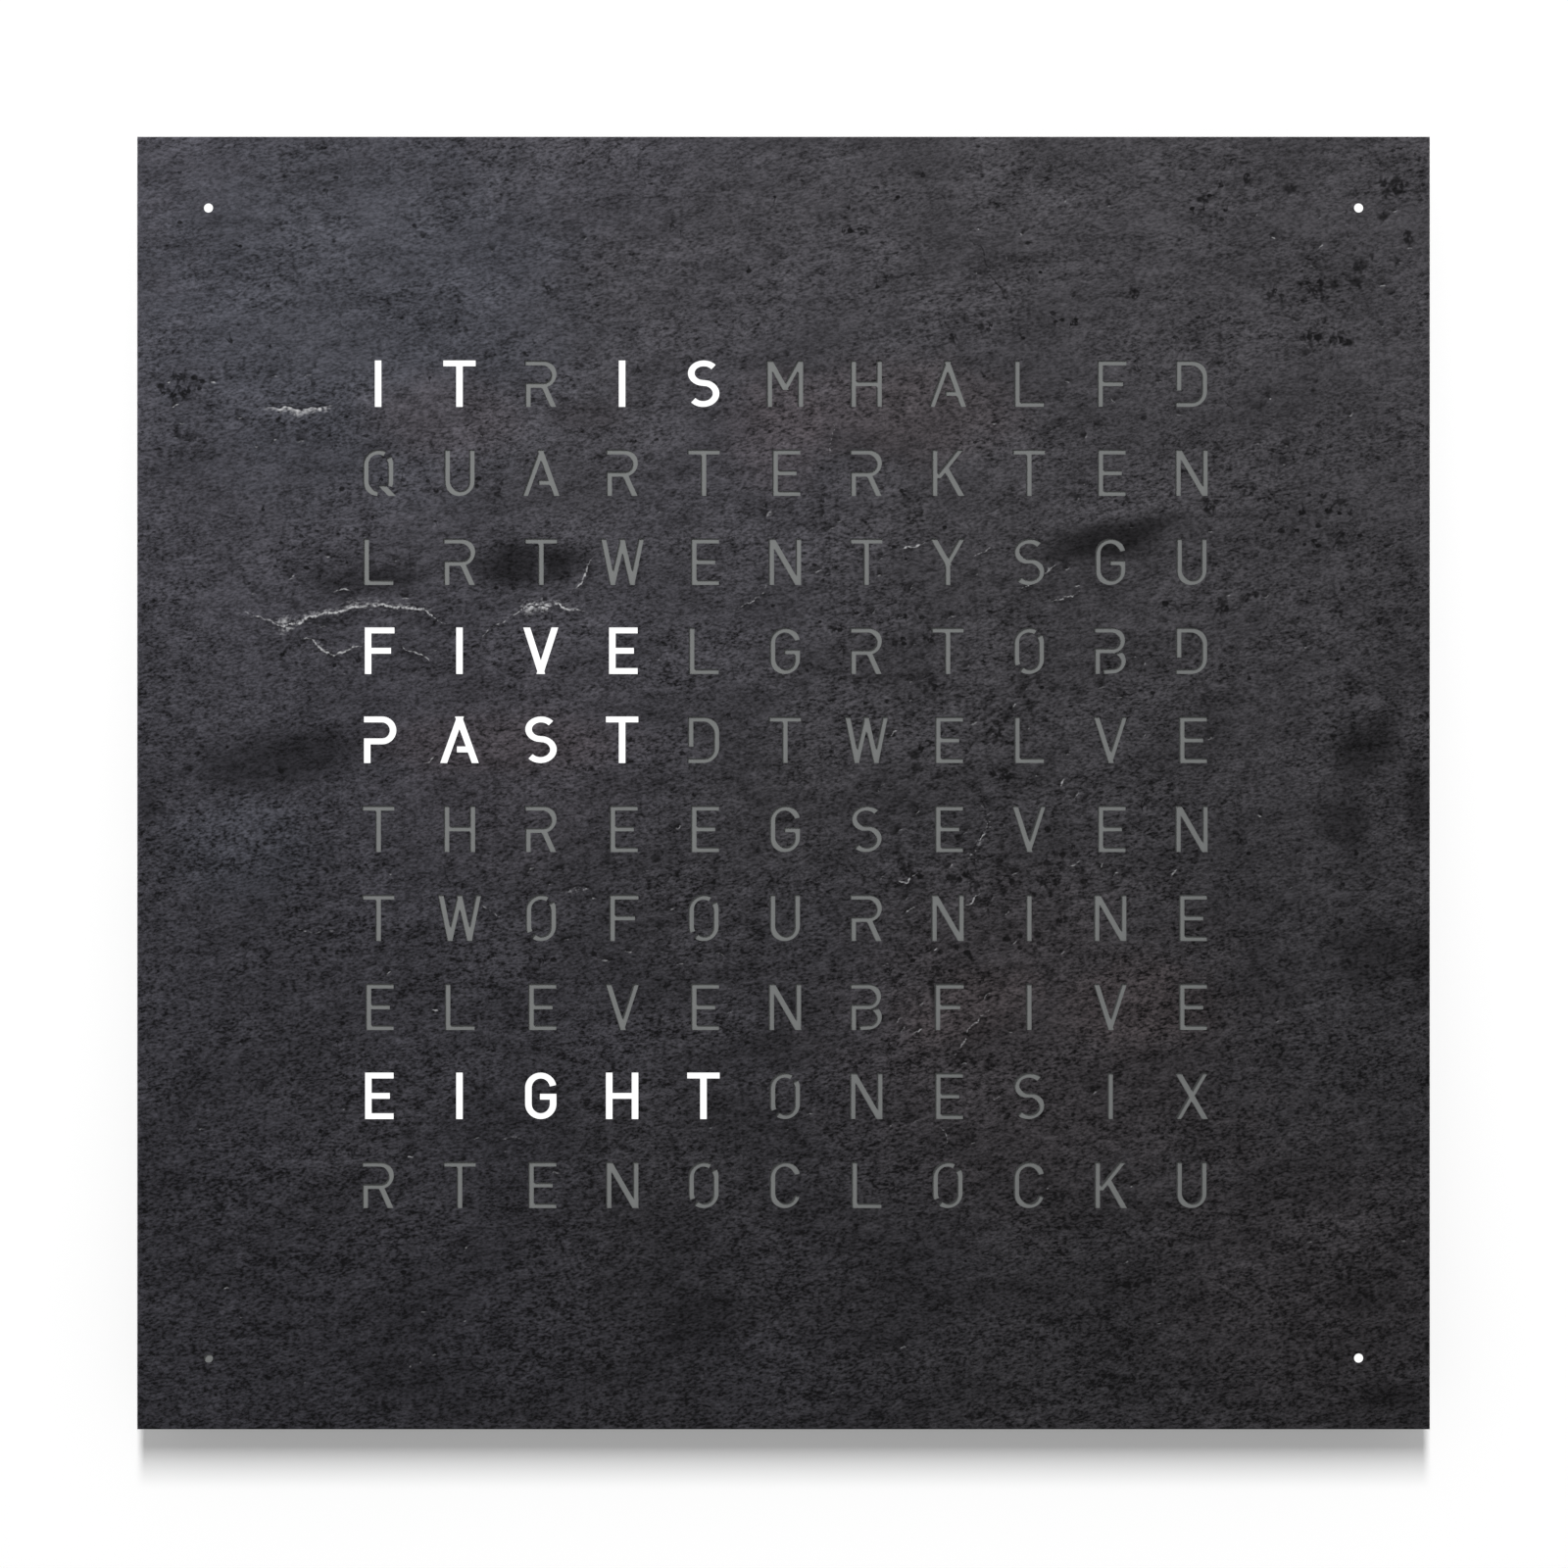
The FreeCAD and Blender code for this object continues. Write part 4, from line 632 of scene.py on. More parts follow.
class Plan:
    # points and lines of the stone's front before it is meshed; each point may carry its own rise, painted
    # highlight and painted shade
    def __init__(self):
        self.points, self.lines, self.faces = [], [], []
        self.marks = {}
        self.near = set()
        self.cell = slate["cell"] * slate["mesh"]

    def cellOf(self, x, z):
        return round(x / self.cell), round(z / self.cell)

    def put(self, x, z, **mark):
        self.points.append(Vector((x, z)))
        if mark:
            self.marks[len(self.points) - 1] = mark
        self.near.add(self.cellOf(x, z))
        return len(self.points) - 1

    def join(self, first, last):
        self.lines.append((first, last))
        a, b = self.points[first], self.points[last]
        steps = int((b - a).length / (0.5 * self.cell)) + 1
        for step in range(steps + 1):
            self.near.add(self.cellOf(*a.lerp(b, step / steps)))

    def close(self, ring):
        for first, last in around(ring):
            self.join(first, last)

    def clear(self, x, z, reach=1):
        i, j = self.cellOf(x, z)
        steps = range(-reach, reach + 1)
        return not any((i + a, j + b) in self.near for a in steps for b in steps)


def wander(points, dice):
    # a broken line through points, made rough by moving the middle of each run again and again
    line = [Vector(p) * mm for p in points]
    while max((b - a).length for a, b in zip(line, line[1:])) > slate["finest"]:
        rough = [line[0]]
        for a, b in zip(line, line[1:]):
            run = b - a
            side = Vector((-run.y, run.x)) * dice.uniform(-slate["wander"], slate["wander"])
            rough += [(a + b) / 2 + side, b]
        line = rough
    return line


def addLine(plan, points, halfWidth, dice, marks):
    # a middle line with a line on each side; marks gives the three points' own rise, painted highlight and
    # painted shade for a fade from 0 at the ends to 1
    line = wander(points, dice)
    last = None
    for index, point in enumerate(line):
        before, after = line[max(index - 1, 0)], line[min(index + 1, len(line) - 1)]
        run = (after - before).normalized()
        upward = Vector((-run.y, run.x)) if run.x >= 0 else Vector((run.y, -run.x))
        fade = min(1, 4 * index / len(line), 4 * (len(line) - 1 - index) / len(line))
        width = halfWidth * mm * (0.45 + 0.55 * fade) * dice.uniform(0.6, 1.3)
        three = []
        for place, mark in zip((point, point + upward * width, point - upward * width), marks(fade)):
            three.append(plan.put(*place, **mark))
        if last:
            for a, b in zip(last, three):
                plan.join(a, b)
        last = three


def addSeams(plan, dice):
    for points, halfWidth, rise, pale, raggedHighlight in slate["seams"]:
        # a seam's ridge gets a painted highlight, the side below it painted shade, and both sides may get a
        # ragged painted highlight
        def marks(fade):
            shade = pale * (0.3 + 0.7 * fade) * dice.uniform(0.35, 1.0)
            above, below = (raggedHighlight * fade * dice.uniform(0.4, 1.0) for _ in range(2))
            dark = (0.8 - 0.6 * raggedHighlight) * fade * dice.random()
            return ({"rise": rise * fade, "pale": shade}, {"rise": 0, "pale": above},
                    {"rise": -0.6 * rise * fade, "pale": 0.5 * below, "dark": dark})
        addLine(plan, points, halfWidth, dice, marks)
    for points, halfWidth, depth, lip in slate["cracks"]:
        # a crack gets painted shade in its groove and on its upper side, and a painted highlight on its lower
        # lip
        def marks(fade):
            dark = 0.35 + 0.65 * fade * dice.uniform(0.5, 1.0)
            pale = lip * fade * dice.uniform(0.3, 1.0)
            return ({"rise": -depth * fade, "dark": dark}, {"rise": 0, "dark": 0.2 * fade},
                    {"rise": 0.02, "pale": pale})
        addLine(plan, points, halfWidth, dice, marks)


def addFlake(plan, x, z, size, dice, reach=1):
    # one small flake broken out: a pit with painted shade and a ragged edge, whose lower part may get a
    # painted highlight
    if not plan.clear(x, z, reach):
        return
    lean = dice.uniform(0, math.pi)
    depth, dark = dice.uniform(0.05, 0.14), dice.uniform(0.75, 1.0)
    # painted shade in the pit, less of it towards the edge
    plan.put(x, z, rise=-depth, dark=dark)
    for ring, share in slate["flakeRings"]:
        for k in range(slate["flakeSides"]):
            angle = lean + ring + k * math.tau / slate["flakeSides"]
            far = ring * size * dice.uniform(0.75, 1.2)
            # a painted highlight on the lower part of the edge
            low = max(-math.sin(angle), 0) * (1 - share)
            plan.put(x + 1.25 * far * math.cos(angle), z + far * math.sin(angle), rise=-depth * share,
                     dark=dark * share, pale=low * dice.uniform(0, 0.13))


def addNicks(plan, dice):
    for (x, z), (acrossReach, upReach), count, lean, length in slate["nicks"]:
        for _ in range(count):
            angle = math.radians(lean + dice.gauss(0, 16))
            run = Vector((math.cos(angle), math.sin(angle))) * length * dice.uniform(0.5, 1.2)
            start = Vector((x + dice.uniform(-acrossReach, acrossReach), z + dice.uniform(-upReach, upReach)))
            dark, lip = dice.uniform(0.6, 1.0), dice.uniform(0.1, 0.72) ** 1.3
            if not all(plan.clear(*((start + run * share) * mm)) for share in (0, 0.5, 1)):
                continue

            # a nick gets a painted highlight along its middle and painted shade on its upper side
            def marks(fade):
                pale = lip * fade * dice.uniform(0.5, 1.0)
                return ({"rise": -0.03 * fade, "pale": pale, "dark": 0.3 * dark * fade},
                        {"rise": -0.15 * fade, "dark": dark * fade}, {"rise": 0.01})
            addLine(plan, [start, start + run], 0.6, dice, marks)


def addFlakes(plan, dice):
    for (x, z), (acrossReach, upReach), count, size in slate["flakes"]:
        for _ in range(count):
            angle, far = dice.uniform(0, math.tau), math.sqrt(dice.random())
            across, up = acrossReach * far * math.cos(angle), upReach * far * math.sin(angle)
            addFlake(plan, (x + across) * mm, (z + up) * mm, size * mm * dice.uniform(0.9, 2.0), dice, 0)
    edge = stoneHigh.x - slate["margin"]
    for _ in range(slate["strays"]):
        x, z = dice.uniform(-edge, edge), dice.uniform(-edge, edge)
        addFlake(plan, x, z, dice.uniform(0.5, 1.0) * mm, dice)


def planFace(cuts):
    plan = Plan()
    dice = random.Random(slate["seed"])
    low, high, steps = stoneLow, stoneHigh, slate["edgeSteps"]
    for inset in (0, slate["edge"]):
        ring = []
        left, right, foot, top = low.x + inset, high.x - inset, low.z + inset, high.z - inset
        ends = [Vector(end) for end in ((left, foot), (right, foot), (right, top), (left, top))]
        for a, b in around(ends):
            inward = Vector((a.y - b.y, b.x - a.x)).normalized()
            for step in range(steps):
                p = a.lerp(b, step / steps)
                if inset and step:  # the broken edge isn't quite straight
                    p += inward * dice.choice(slate["edgeChips"]) * dice.random() * mm
                ring.append(plan.put(*p, rim=0.0 if inset else 1.0))
        plan.close(ring)
    for outline, _ in cuts:
        ring = [plan.put(*point) for point in outline]
        plan.close(ring)
        plan.faces.append(ring)
    addSeams(plan, dice)
    addNicks(plan, dice)
    addFlakes(plan, dice)
    pitch, jitter = slate["mesh"], slate["jitter"]
    count = int((high.x - low.x) / pitch)
    for i in range(1, count):
        for j in range(1, count):
            x = low.x + (i + dice.uniform(-jitter, jitter)) * pitch
            z = low.z + (j + dice.uniform(-jitter, jitter)) * pitch
            if plan.clear(x, z):
                plan.points.append(Vector((x, z)))
    return plan


def rimOf(triangles):
    # the edges that only one triangle has, in that triangle's direction
    edges = set()
    for triangle in triangles:
        edges.update(around(triangle))
    return sorted((a, b) for a, b in edges if (b, a) not in edges)


def backOf(points, rim):
    # triangles that fill what the rim goes round, with no points but the rim's own
    used = sorted({index for edge in rim for index in edge})
    local = {index: k for k, index in enumerate(used)}
    lines = [(local[a], local[b]) for a, b in rim]
    found = geometry.delaunay_2d_cdt([points[i] for i in used], lines, [], 0, slate["merge"][1], True)
    back = [used[origin[0]] for origin in found[3]]
    triangles = [tuple(back[k] for k in triangle) for triangle in found[2]]
    owner = {}
    for k, triangle in enumerate(triangles):
        owner.update((edge, k) for edge in around(triangle))
    walls = set(rim)
    inside = {owner[edge] for edge in rim}
    todo = list(inside)
    while todo:
        for edge in around(triangles[todo.pop()]):
            other = owner.get(edge[::-1])
            if edge not in walls and other is not None and other not in inside:
                inside.add(other)
                todo.append(other)
    return [triangles[k] for k in sorted(inside)]


def slab(name, points, triangles, front, backY, shades):
    # a closed plate: the triangles in front, walls along their rim and a plain back
    used = sorted({index for triangle in triangles for index in triangle})
    number = {index: k for k, index in enumerate(used)}
    vertices = [(points[i].x, front[i], points[i].y) for i in used]
    rim = rimOf(triangles)
    behind = {}
    for index in sorted({i for edge in rim for i in edge}):
        behind[index] = len(vertices)
        vertices.append((points[index].x, backY, points[index].y))
    faces = [tuple(number[i] for i in triangle) for triangle in triangles]
    faces += [(number[b], number[a], behind[a], behind[b]) for a, b in rim]
    faces += [tuple(behind[i] for i in reversed(triangle)) for triangle in backOf(points, rim)]
    mesh = bpy.data.meshes.new(name)
    mesh.from_pydata(vertices, [], faces)
    mesh.shade_smooth()
    mesh.set_sharp_from_angle(angle=math.radians(slate["sharp"]))
    for shade, values in shades.items():
        layer = mesh.attributes.new(shade, "FLOAT", "POINT")
        layer.data.foreach_set("value", [values[i] for i in used] + [values[i] for i in behind])
    print(name, len(mesh.vertices), "points", sum(len(f) - 2 for f in faces), "triangles")
    return addObject(name, mesh)


def stainAt(x, z):
    # how much lighter and redder the stone is at a point in metres
    lighter, redder = 0.0, 0.0
    ragged = 0.22 * waves("stain", x, z)
    for centre, reach, angle, light, red in slate["stains"]:
        dx, dz = x / mm - centre[0], z / mm - centre[1]
        if abs(dx) + abs(dz) > 4 * max(reach):
            continue
        c, s = math.cos(math.radians(angle)), math.sin(math.radians(angle))
        off = math.hypot((dx * c + dz * s) / reach[0], (dz * c - dx * s) / reach[1]) + ragged
        whole, end = slate["stainFade"]
        strength = min(max((end - off) / (end - whole), 0), 1)
        strength *= strength * (3 - 2 * strength)
        lighter += light * strength
        redder += red * strength
    return max(lighter, slate["darkest"]), redder


def makeFace():
    cuts = cutOutlines()
    plan = planFace(cuts)
    print("stone planned:", len(plan.points), "points")
    found = geometry.delaunay_2d_cdt(plan.points, plan.lines, plan.faces, 0, slate["merge"][0], True)
    points, origins, owners = found[0], found[3], found[5]
    triangles = [tuple(triangle) for triangle in found[2]]
    front = []
    # for each point: its painted highlight, its painted shade, and the stains' lighter and redder tone
    shades = {name: [] for name in ("pale", "dark", "lighter", "redder")}
    for point, origin in zip(points, origins):
        mark = next((plan.marks[o] for o in origin if o in plan.marks), {})
        depth = broadShape(point.x, point.y) - mark.get("rise", 0.0) * mm
        if "rim" in mark:
            depth = slate["skin"] + mark["rim"] * slate["edge"]
        front.append(stoneLow.y + min(max(depth, 0), slate["deepest"]))
        values = mark.get("pale", 0.0), mark.get("dark", 0.0), *stainAt(point.x, point.y)
        for shade, value in zip(shades.values(), values):
            shade.append(value)
    stone = [triangle for triangle, owner in zip(triangles, owners) if not owner]
    piece = slab("stoneFace", points, stone, front, stoneHigh.y, shades)
    piece.data.materials.append(slateFinish())
    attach(piece, "front_cover")
    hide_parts("stone_face")

    glow = [0.0] * len(points)
    holes = []
    for triangle, owner in zip(triangles, owners):
        if owner:
            holes.append(triangle)
            for index in triangle:
                glow[index] = float(cuts[owner[0]][1])
    flat = [stoneLow.y + slate["recess"]] * len(points)
    filling = slab("letterFillings", points, holes, flat, sheetLow.y, {"glow": glow})
    filling.data.materials.append(fillingFinish())
    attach(filling, "front_cover")


def slateFinish():
    finish = Finish("cleftSlate")
    run = finish.place((2.0, 1, 1), (0, math.radians(-9), 0))
    lean = (0, math.radians(-6), 0)
    fine = finish.grain(0.85 * mm, 3, 0.72, run)
    medium = finish.grain(3.0 * mm, 3, 0.62, run)
    streak = finish.grain(5 * mm, 4, 0.62, finish.place((4.5, 1, 1), lean))
    patch = finish.grain(24 * mm, 4, 0.6, finish.place((1.7, 1, 1), lean))
    broad = finish.grain(85 * mm)
    coarse = finish.between(finish.grain(24 * mm, 3, 0.55, run), 0.38, 0.62)
    across, _, height = finish.axes()
    # painted light: the stone's colour is made lighter towards the top, where the light falls stronger, and
    # the grain's contrast grows towards the bottom, where the lamp shows less of the relief
    top = finish.between(height, -0.25, 0.25)
    level = 0.44 + top * 0.62
    level = level * (0.80 + finish.between(patch, 0.3, 0.7) * 0.38)
    contrast = 2.05 - top + coarse * 0.5
    grains = finish.between(fine, 0.25, 0.76) - 0.5 + (medium - 0.5) * 1.05
    level = level * (1 + (grains * contrast + (streak - 0.5) * 0.9))
    # painted shade in the small pits, which the relief also lowers
    shadedPits = finish.between(finish.cells(3.3 * mm, run) + (fine - 0.5) * 0.5, 0.22, 0.06) * coarse
    level = level * (1 - shadedPits * 0.7) * (1 + finish.attribute("lighter"))
    # painted shade from the cracks, nicks, flakes and the seams' lower sides
    level = level * (1 - finish.attribute("dark") * 0.9)
    aside = finish.between(across + (broad - 0.5) * 0.3, -0.2, 0.12)
    ground = finish.mix(aside, tint(66, 65, 71), tint(68, 66, 67))
    cooler, warmer = (finish.mix(0.5, ground, hue) for hue in (tint(60, 65, 73), tint(73, 65, 68)))
    ground = finish.mix(finish.between(finish.attribute("redder"), -0.8, 1.0), cooler, warmer)
    shade = finish.add("VectorMath", {0: ground, "Scale": level.maximum(0.06)}, operation="SCALE")
    # painted highlights from the seams, the cracks' lower lips, the nicks and the flakes' edges, made ragged
    # by the fine grain
    pale = finish.attribute("pale")
    raggedHighlight = finish.between(pale + (fine - 0.5) * 1.1, 0.12, 0.8) * finish.between(pale, 0.0, 0.2)
    relief = fine + medium * 0.9 + streak * 0.4 - shadedPits * 0.5
    colour = finish.mix(raggedHighlight, shade, tint(186, 186, 188))
    return finish.done(colour, 0.74 + fine * 0.1, relief, 0.26 * mm, 0.75, shine=0.08)


def fillingFinish():
    finish = Finish("letterFilling")
    colour = finish.mix(finish.grain(9 * mm), tint(116, 118, 118), tint(124, 126, 125))
    glow = finish.mix(finish.attribute("glow"), (0, 0, 0, 1), (1, 1, 1, 1))
    return finish.done(colour, 0.45, shine=0.3, glow=glow, glowStrength=1.0)


# Finishes of the parts that come from the frame

cable = {
    "wide": 8 * mm,
    "pitch": 0.8 * mm,  # of its cores
    "round": 0.36,  # radius of a core's back, as a share of the pitch
}


def moulded(name, colour, roughness=0.5, size=0.6 * mm, depth=0.02 * mm, shine=0.4):
    # moulded plastic: a fine spark-eroded skin, faint flow from the gate and a few dull scuffs
    finish = Finish(name)
    skin = finish.grain(size, 2, 0.6)
    flow = finish.grain(30 * mm, 3, 0.55, finish.place((3, 1, 1)))
    scuff = finish.between(finish.grain(7 * mm, 3, 0.6, finish.place((4, 1, 1), (0, 0.5, 0))), 0.6, 0.75)
    shade = finish.tones(flow, colour, 0.78)
    shade = finish.mix(skin * 0.3, shade, darker(colour, 1.25))
    roughness = roughness + skin * 0.1 + scuff * 0.12
    return finish.done(shade, roughness, skin + flow * 0.2, depth, 0.6, shine=shine)


def metal(name, colour, roughness=0.35, stretch=(1, 1, 12), size=0.4 * mm, depth=0.01 * mm):
    # rolled, drawn or plated metal with a run along one axis
    finish = Finish(name)
    lines = finish.grain(size, 2, 0.6, finish.place(stretch))
    shade = finish.tones(finish.grain(12 * mm, 3, 0.55), colour, 0.72)
    shade = finish.mix(lines * 0.35, shade, darker(colour, 0.6))
    return finish.done(shade, roughness + lines * 0.15, lines, depth, metal=1.0)


def powderCoat(name, colour):
    # baked powder: fine orange peel and a faint sparkle
    finish = Finish(name)
    peel = finish.grain(0.7 * mm)
    speck = finish.cells(0.6 * mm, output="Color")
    shade = finish.tones(finish.grain(40 * mm), colour, 0.8, 1.15)
    shade = finish.mix(finish.between(speck, 0.7, 0.95) * 0.3, shade, darker(colour, 2.4))
    return finish.done(shade, 0.5 + peel * 0.15, peel, 0.03 * mm, 0.7, shine=0.4)


def galvanised(name, colour):
    # zinc-dipped sheet: flat crystals of several greys, rolled lines under them
    finish = Finish(name)
    wave = finish.grain(9 * mm)
    shift = finish.add("CombineXYZ", {0: wave * 4 * mm, 2: wave * 3 * mm})
    point = finish.add("VectorMath", {0: finish.place((1.4, 1, 1)), 1: shift}, operation="ADD")
    crystal = finish.cells(5.5 * mm, point, "Color")
    lines = finish.grain(0.3 * mm, 2, 0.6, finish.place((16, 1, 1)))
    shade = finish.tones(crystal, colour, 0.62, 1.1)
    shade = finish.mix(lines * 0.25, shade, darker(colour, 0.5))
    roughness = 0.42 + lines * 0.12 - crystal * 0.06
    return finish.done(shade, roughness, crystal + lines * 0.4, 0.015 * mm, metal=0.85)


def board(name, resist, copper, pitch):
    # solder resist over copper: runs that go across or up in blocks, and round vias
    finish = Finish(name)
    across, _, height = finish.axes()
    flat = finish.add("CombineXYZ", {0: across, 2: height})
    way = finish.cells(8 * pitch, flat, "Color", 0.6, distance="CHEBYCHEV") > 0.5
    runs = way * finish.bands(across, pitch, 0.4) + (1 - way) * finish.bands(height, pitch, 0.4)
    runs = runs * finish.between(finish.grain(12 * pitch), 0.42, 0.48)
    via = finish.cells(5 * pitch, flat, jumble=0.8)
    rings = finish.between(via, 0.14, 0.1)
    cloud = finish.grain(20 * mm)
    shade = finish.mix(runs * 0.75, finish.tones(cloud, resist, 0.85), copper)
    shade = finish.mix(rings, shade, tint(196, 190, 170))
    # painted shade: the middle of each via is dark, for its hole
    shade = finish.mix(finish.between(via, 0.06, 0.04), shade, tint(30, 30, 30))
    return finish.done(shade, 0.32 + cloud * 0.08, runs + rings, 0.03 * mm, 0.6, coat=0.3, coatRoughness=0.2)


def chipTop(name):
    # moulded epoxy with a round mark by each chip's first leg
    finish = Finish(name)
    skin = finish.grain(0.15 * mm, 2, 0.6)
    dots = 0
    for node, inset in (("processor_chip", 1.4 * mm), ("driver_chips", 1.3 * mm)):
        low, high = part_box(node)
        dots = dots + finish.disc(low.x + inset, high.z - inset, 0.5 * mm)
    shade = finish.mix(finish.grain(6 * mm), tint(24, 24, 26), tint(38, 38, 41))
    shade = finish.mix(dots, shade, tint(74, 74, 76))
    return finish.done(shade, 0.55 + skin * 0.2, skin - dots * 3, 0.02 * mm, 0.6, shine=0.35)


def turnedLid(name, node, colour, roughness):
    # a round lid: fine rings about its middle
    finish = Finish(name)
    centre = middle(node)
    at = finish.add("CombineXYZ", {0: finish.away(centre.x, centre.z), 1: finish.axes()[1] * 0.2})
    rings = finish.grain(0.25 * mm, 3, 0.6, at)
    shade = finish.mix(rings, darker(colour, 0.7), finish.tones(finish.grain(5 * mm), colour, 0.85))
    return finish.done(shade, roughness + rings * 0.15, rings, 0.012 * mm, metal=1.0)


def flatCable(name):
    # flat cable: painted shade in the groove between the cores, and the first core marked in red
    finish = Finish(name)
    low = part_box("bus_ribbon")[0]
    across, _, height = finish.axes()
    level = height < low.z + cable["wide"]
    off = level * (height - low.z) + (1 - level) * (across - low.x)
    core = finish.bands(off, cable["pitch"], 0.7, 0.12)
    first = finish.between(off, cable["pitch"] * 1.05, cable["pitch"] * 0.95)
    shade = finish.mix(finish.grain(14 * mm), tint(112, 113, 118), tint(130, 131, 136))
    shade = finish.mix(first * 0.8, shade, tint(150, 44, 40))
    # painted shade in the grooves between the cores
    shade = finish.mix(1 - core, shade, tint(74, 74, 78))
    return finish.done(shade, 0.5, core, 0.1 * mm, 0.6, shine=0.35)


def opal(name):
    # opal acrylic with a satin skin
    finish = Finish(name)
    skin = finish.grain(0.4 * mm)
    shade = finish.mix(finish.grain(50 * mm), tint(156, 163, 151), tint(166, 172, 160))
    return finish.done(shade, 0.4 + skin * 0.1, skin, shine=0.45)


def ledPackage(name):
    # white package with seams that are a little deeper in tone
    finish = Finish(name)
    skin = finish.grain(0.3 * mm)
    seam = finish.bands(finish.axes()[1] - ledLow.y, 0.8 * mm, 0.2)
    shade = finish.mix(skin, tint(222, 219, 205), tint(232, 230, 220))
    shade = finish.mix(seam * 0.5, shade, tint(150, 148, 140))
    return finish.done(shade, 0.35 + skin * 0.1, skin, shine=0.5)


def camel(name):
    first, *rest = name.split("_")
    return first + "".join(word.title() for word in rest)


def slotFinishes():
    # how each slot's finish is made, and what that takes after the name
    made = {
        "diffuser": (opal,),
        "carrier_steel": (powderCoat, tint(24, 24, 26)),
        "lug_plastic": (moulded, tint(27, 27, 29)),
        "housing_plastic": (moulded, tint(31, 31, 33), 0.55, 0.9 * mm, 0.06 * mm),
        "magnet_nickel": (metal, tint(196, 192, 186), 0.3, (1, 1, 1), 0.5 * mm, 0.001 * mm),
        "bumper_rubber": (moulded, tint(26, 26, 26), 0.85, 0.35 * mm, 0.05 * mm, 0.2),
        "shaft_plastic": (moulded, tint(214, 214, 209), 0.6),
        "grid_plastic": (moulded, tint(219, 219, 214), 0.6),
        "screw_steel": (metal, tint(158, 160, 165), 0.28, (1, 5, 1), 0.2 * mm),
        "led_package": (ledPackage,),
        "led_board": (board, tint(224, 224, 217), tint(204, 205, 200), 1.3 * mm),
        "connector_plastic": (moulded, tint(209, 201, 178), 0.5, 0.3 * mm),
        "ribbon_cable": (flatCable,),
        "lead_jacket": (moulded, tint(28, 28, 30), 0.55, 0.4 * mm),
        "controller_board": (board, tint(16, 60, 34), tint(34, 92, 52), 1.1 * mm),
        "chip_epoxy": (chipTop,),
        "crystal_can": (metal, tint(196, 196, 196), 0.24, (1, 1, 6), 0.2 * mm),
        "capacitor_can": (metal, tint(184, 186, 191), 0.3, (1, 8, 1), 0.15 * mm),
        "holder_plastic": (moulded, tint(30, 30, 33), 0.5, 0.4 * mm),
        "cell_steel": (turnedLid, "coin_cell", tint(196, 196, 199), 0.24),
        "inlet_plastic": (moulded, tint(22, 22, 22), 0.45, 0.4 * mm),
        "inlet_brass": (metal, tint(204, 168, 89), 0.22, (1, 1, 8), 0.15 * mm),
        "sensor_lens": (moulded, tint(31, 26, 31), 0.12, 0.8 * mm, 0.002 * mm, 0.6),
        "switch_case": (moulded, tint(31, 31, 33), 0.4, 0.4 * mm),
        "button_plastic": (moulded, tint(41, 41, 43), 0.42, 0.5 * mm),
        "plunger_plastic": (moulded, tint(191, 189, 178), 0.45, 0.4 * mm),
        "bracket_steel": (galvanised, tint(158, 160, 163)),
    }
    return {slot: make(camel(slot), *more) for slot, (make, *more) in made.items()}


def dressNodes():
    finishes = slotFinishes()
    for name, piece in nodes.items():
        slot = piece.data.materials[0].name  # the frame names each material by its slot
        if slot in finishes:
            piece.data.materials.clear()
            piece.data.materials.append(finishes[slot])
        elif name != "stone_face":
            print("no finish for", name, slot)


# Small repeated parts on the boards, as Geometry Nodes

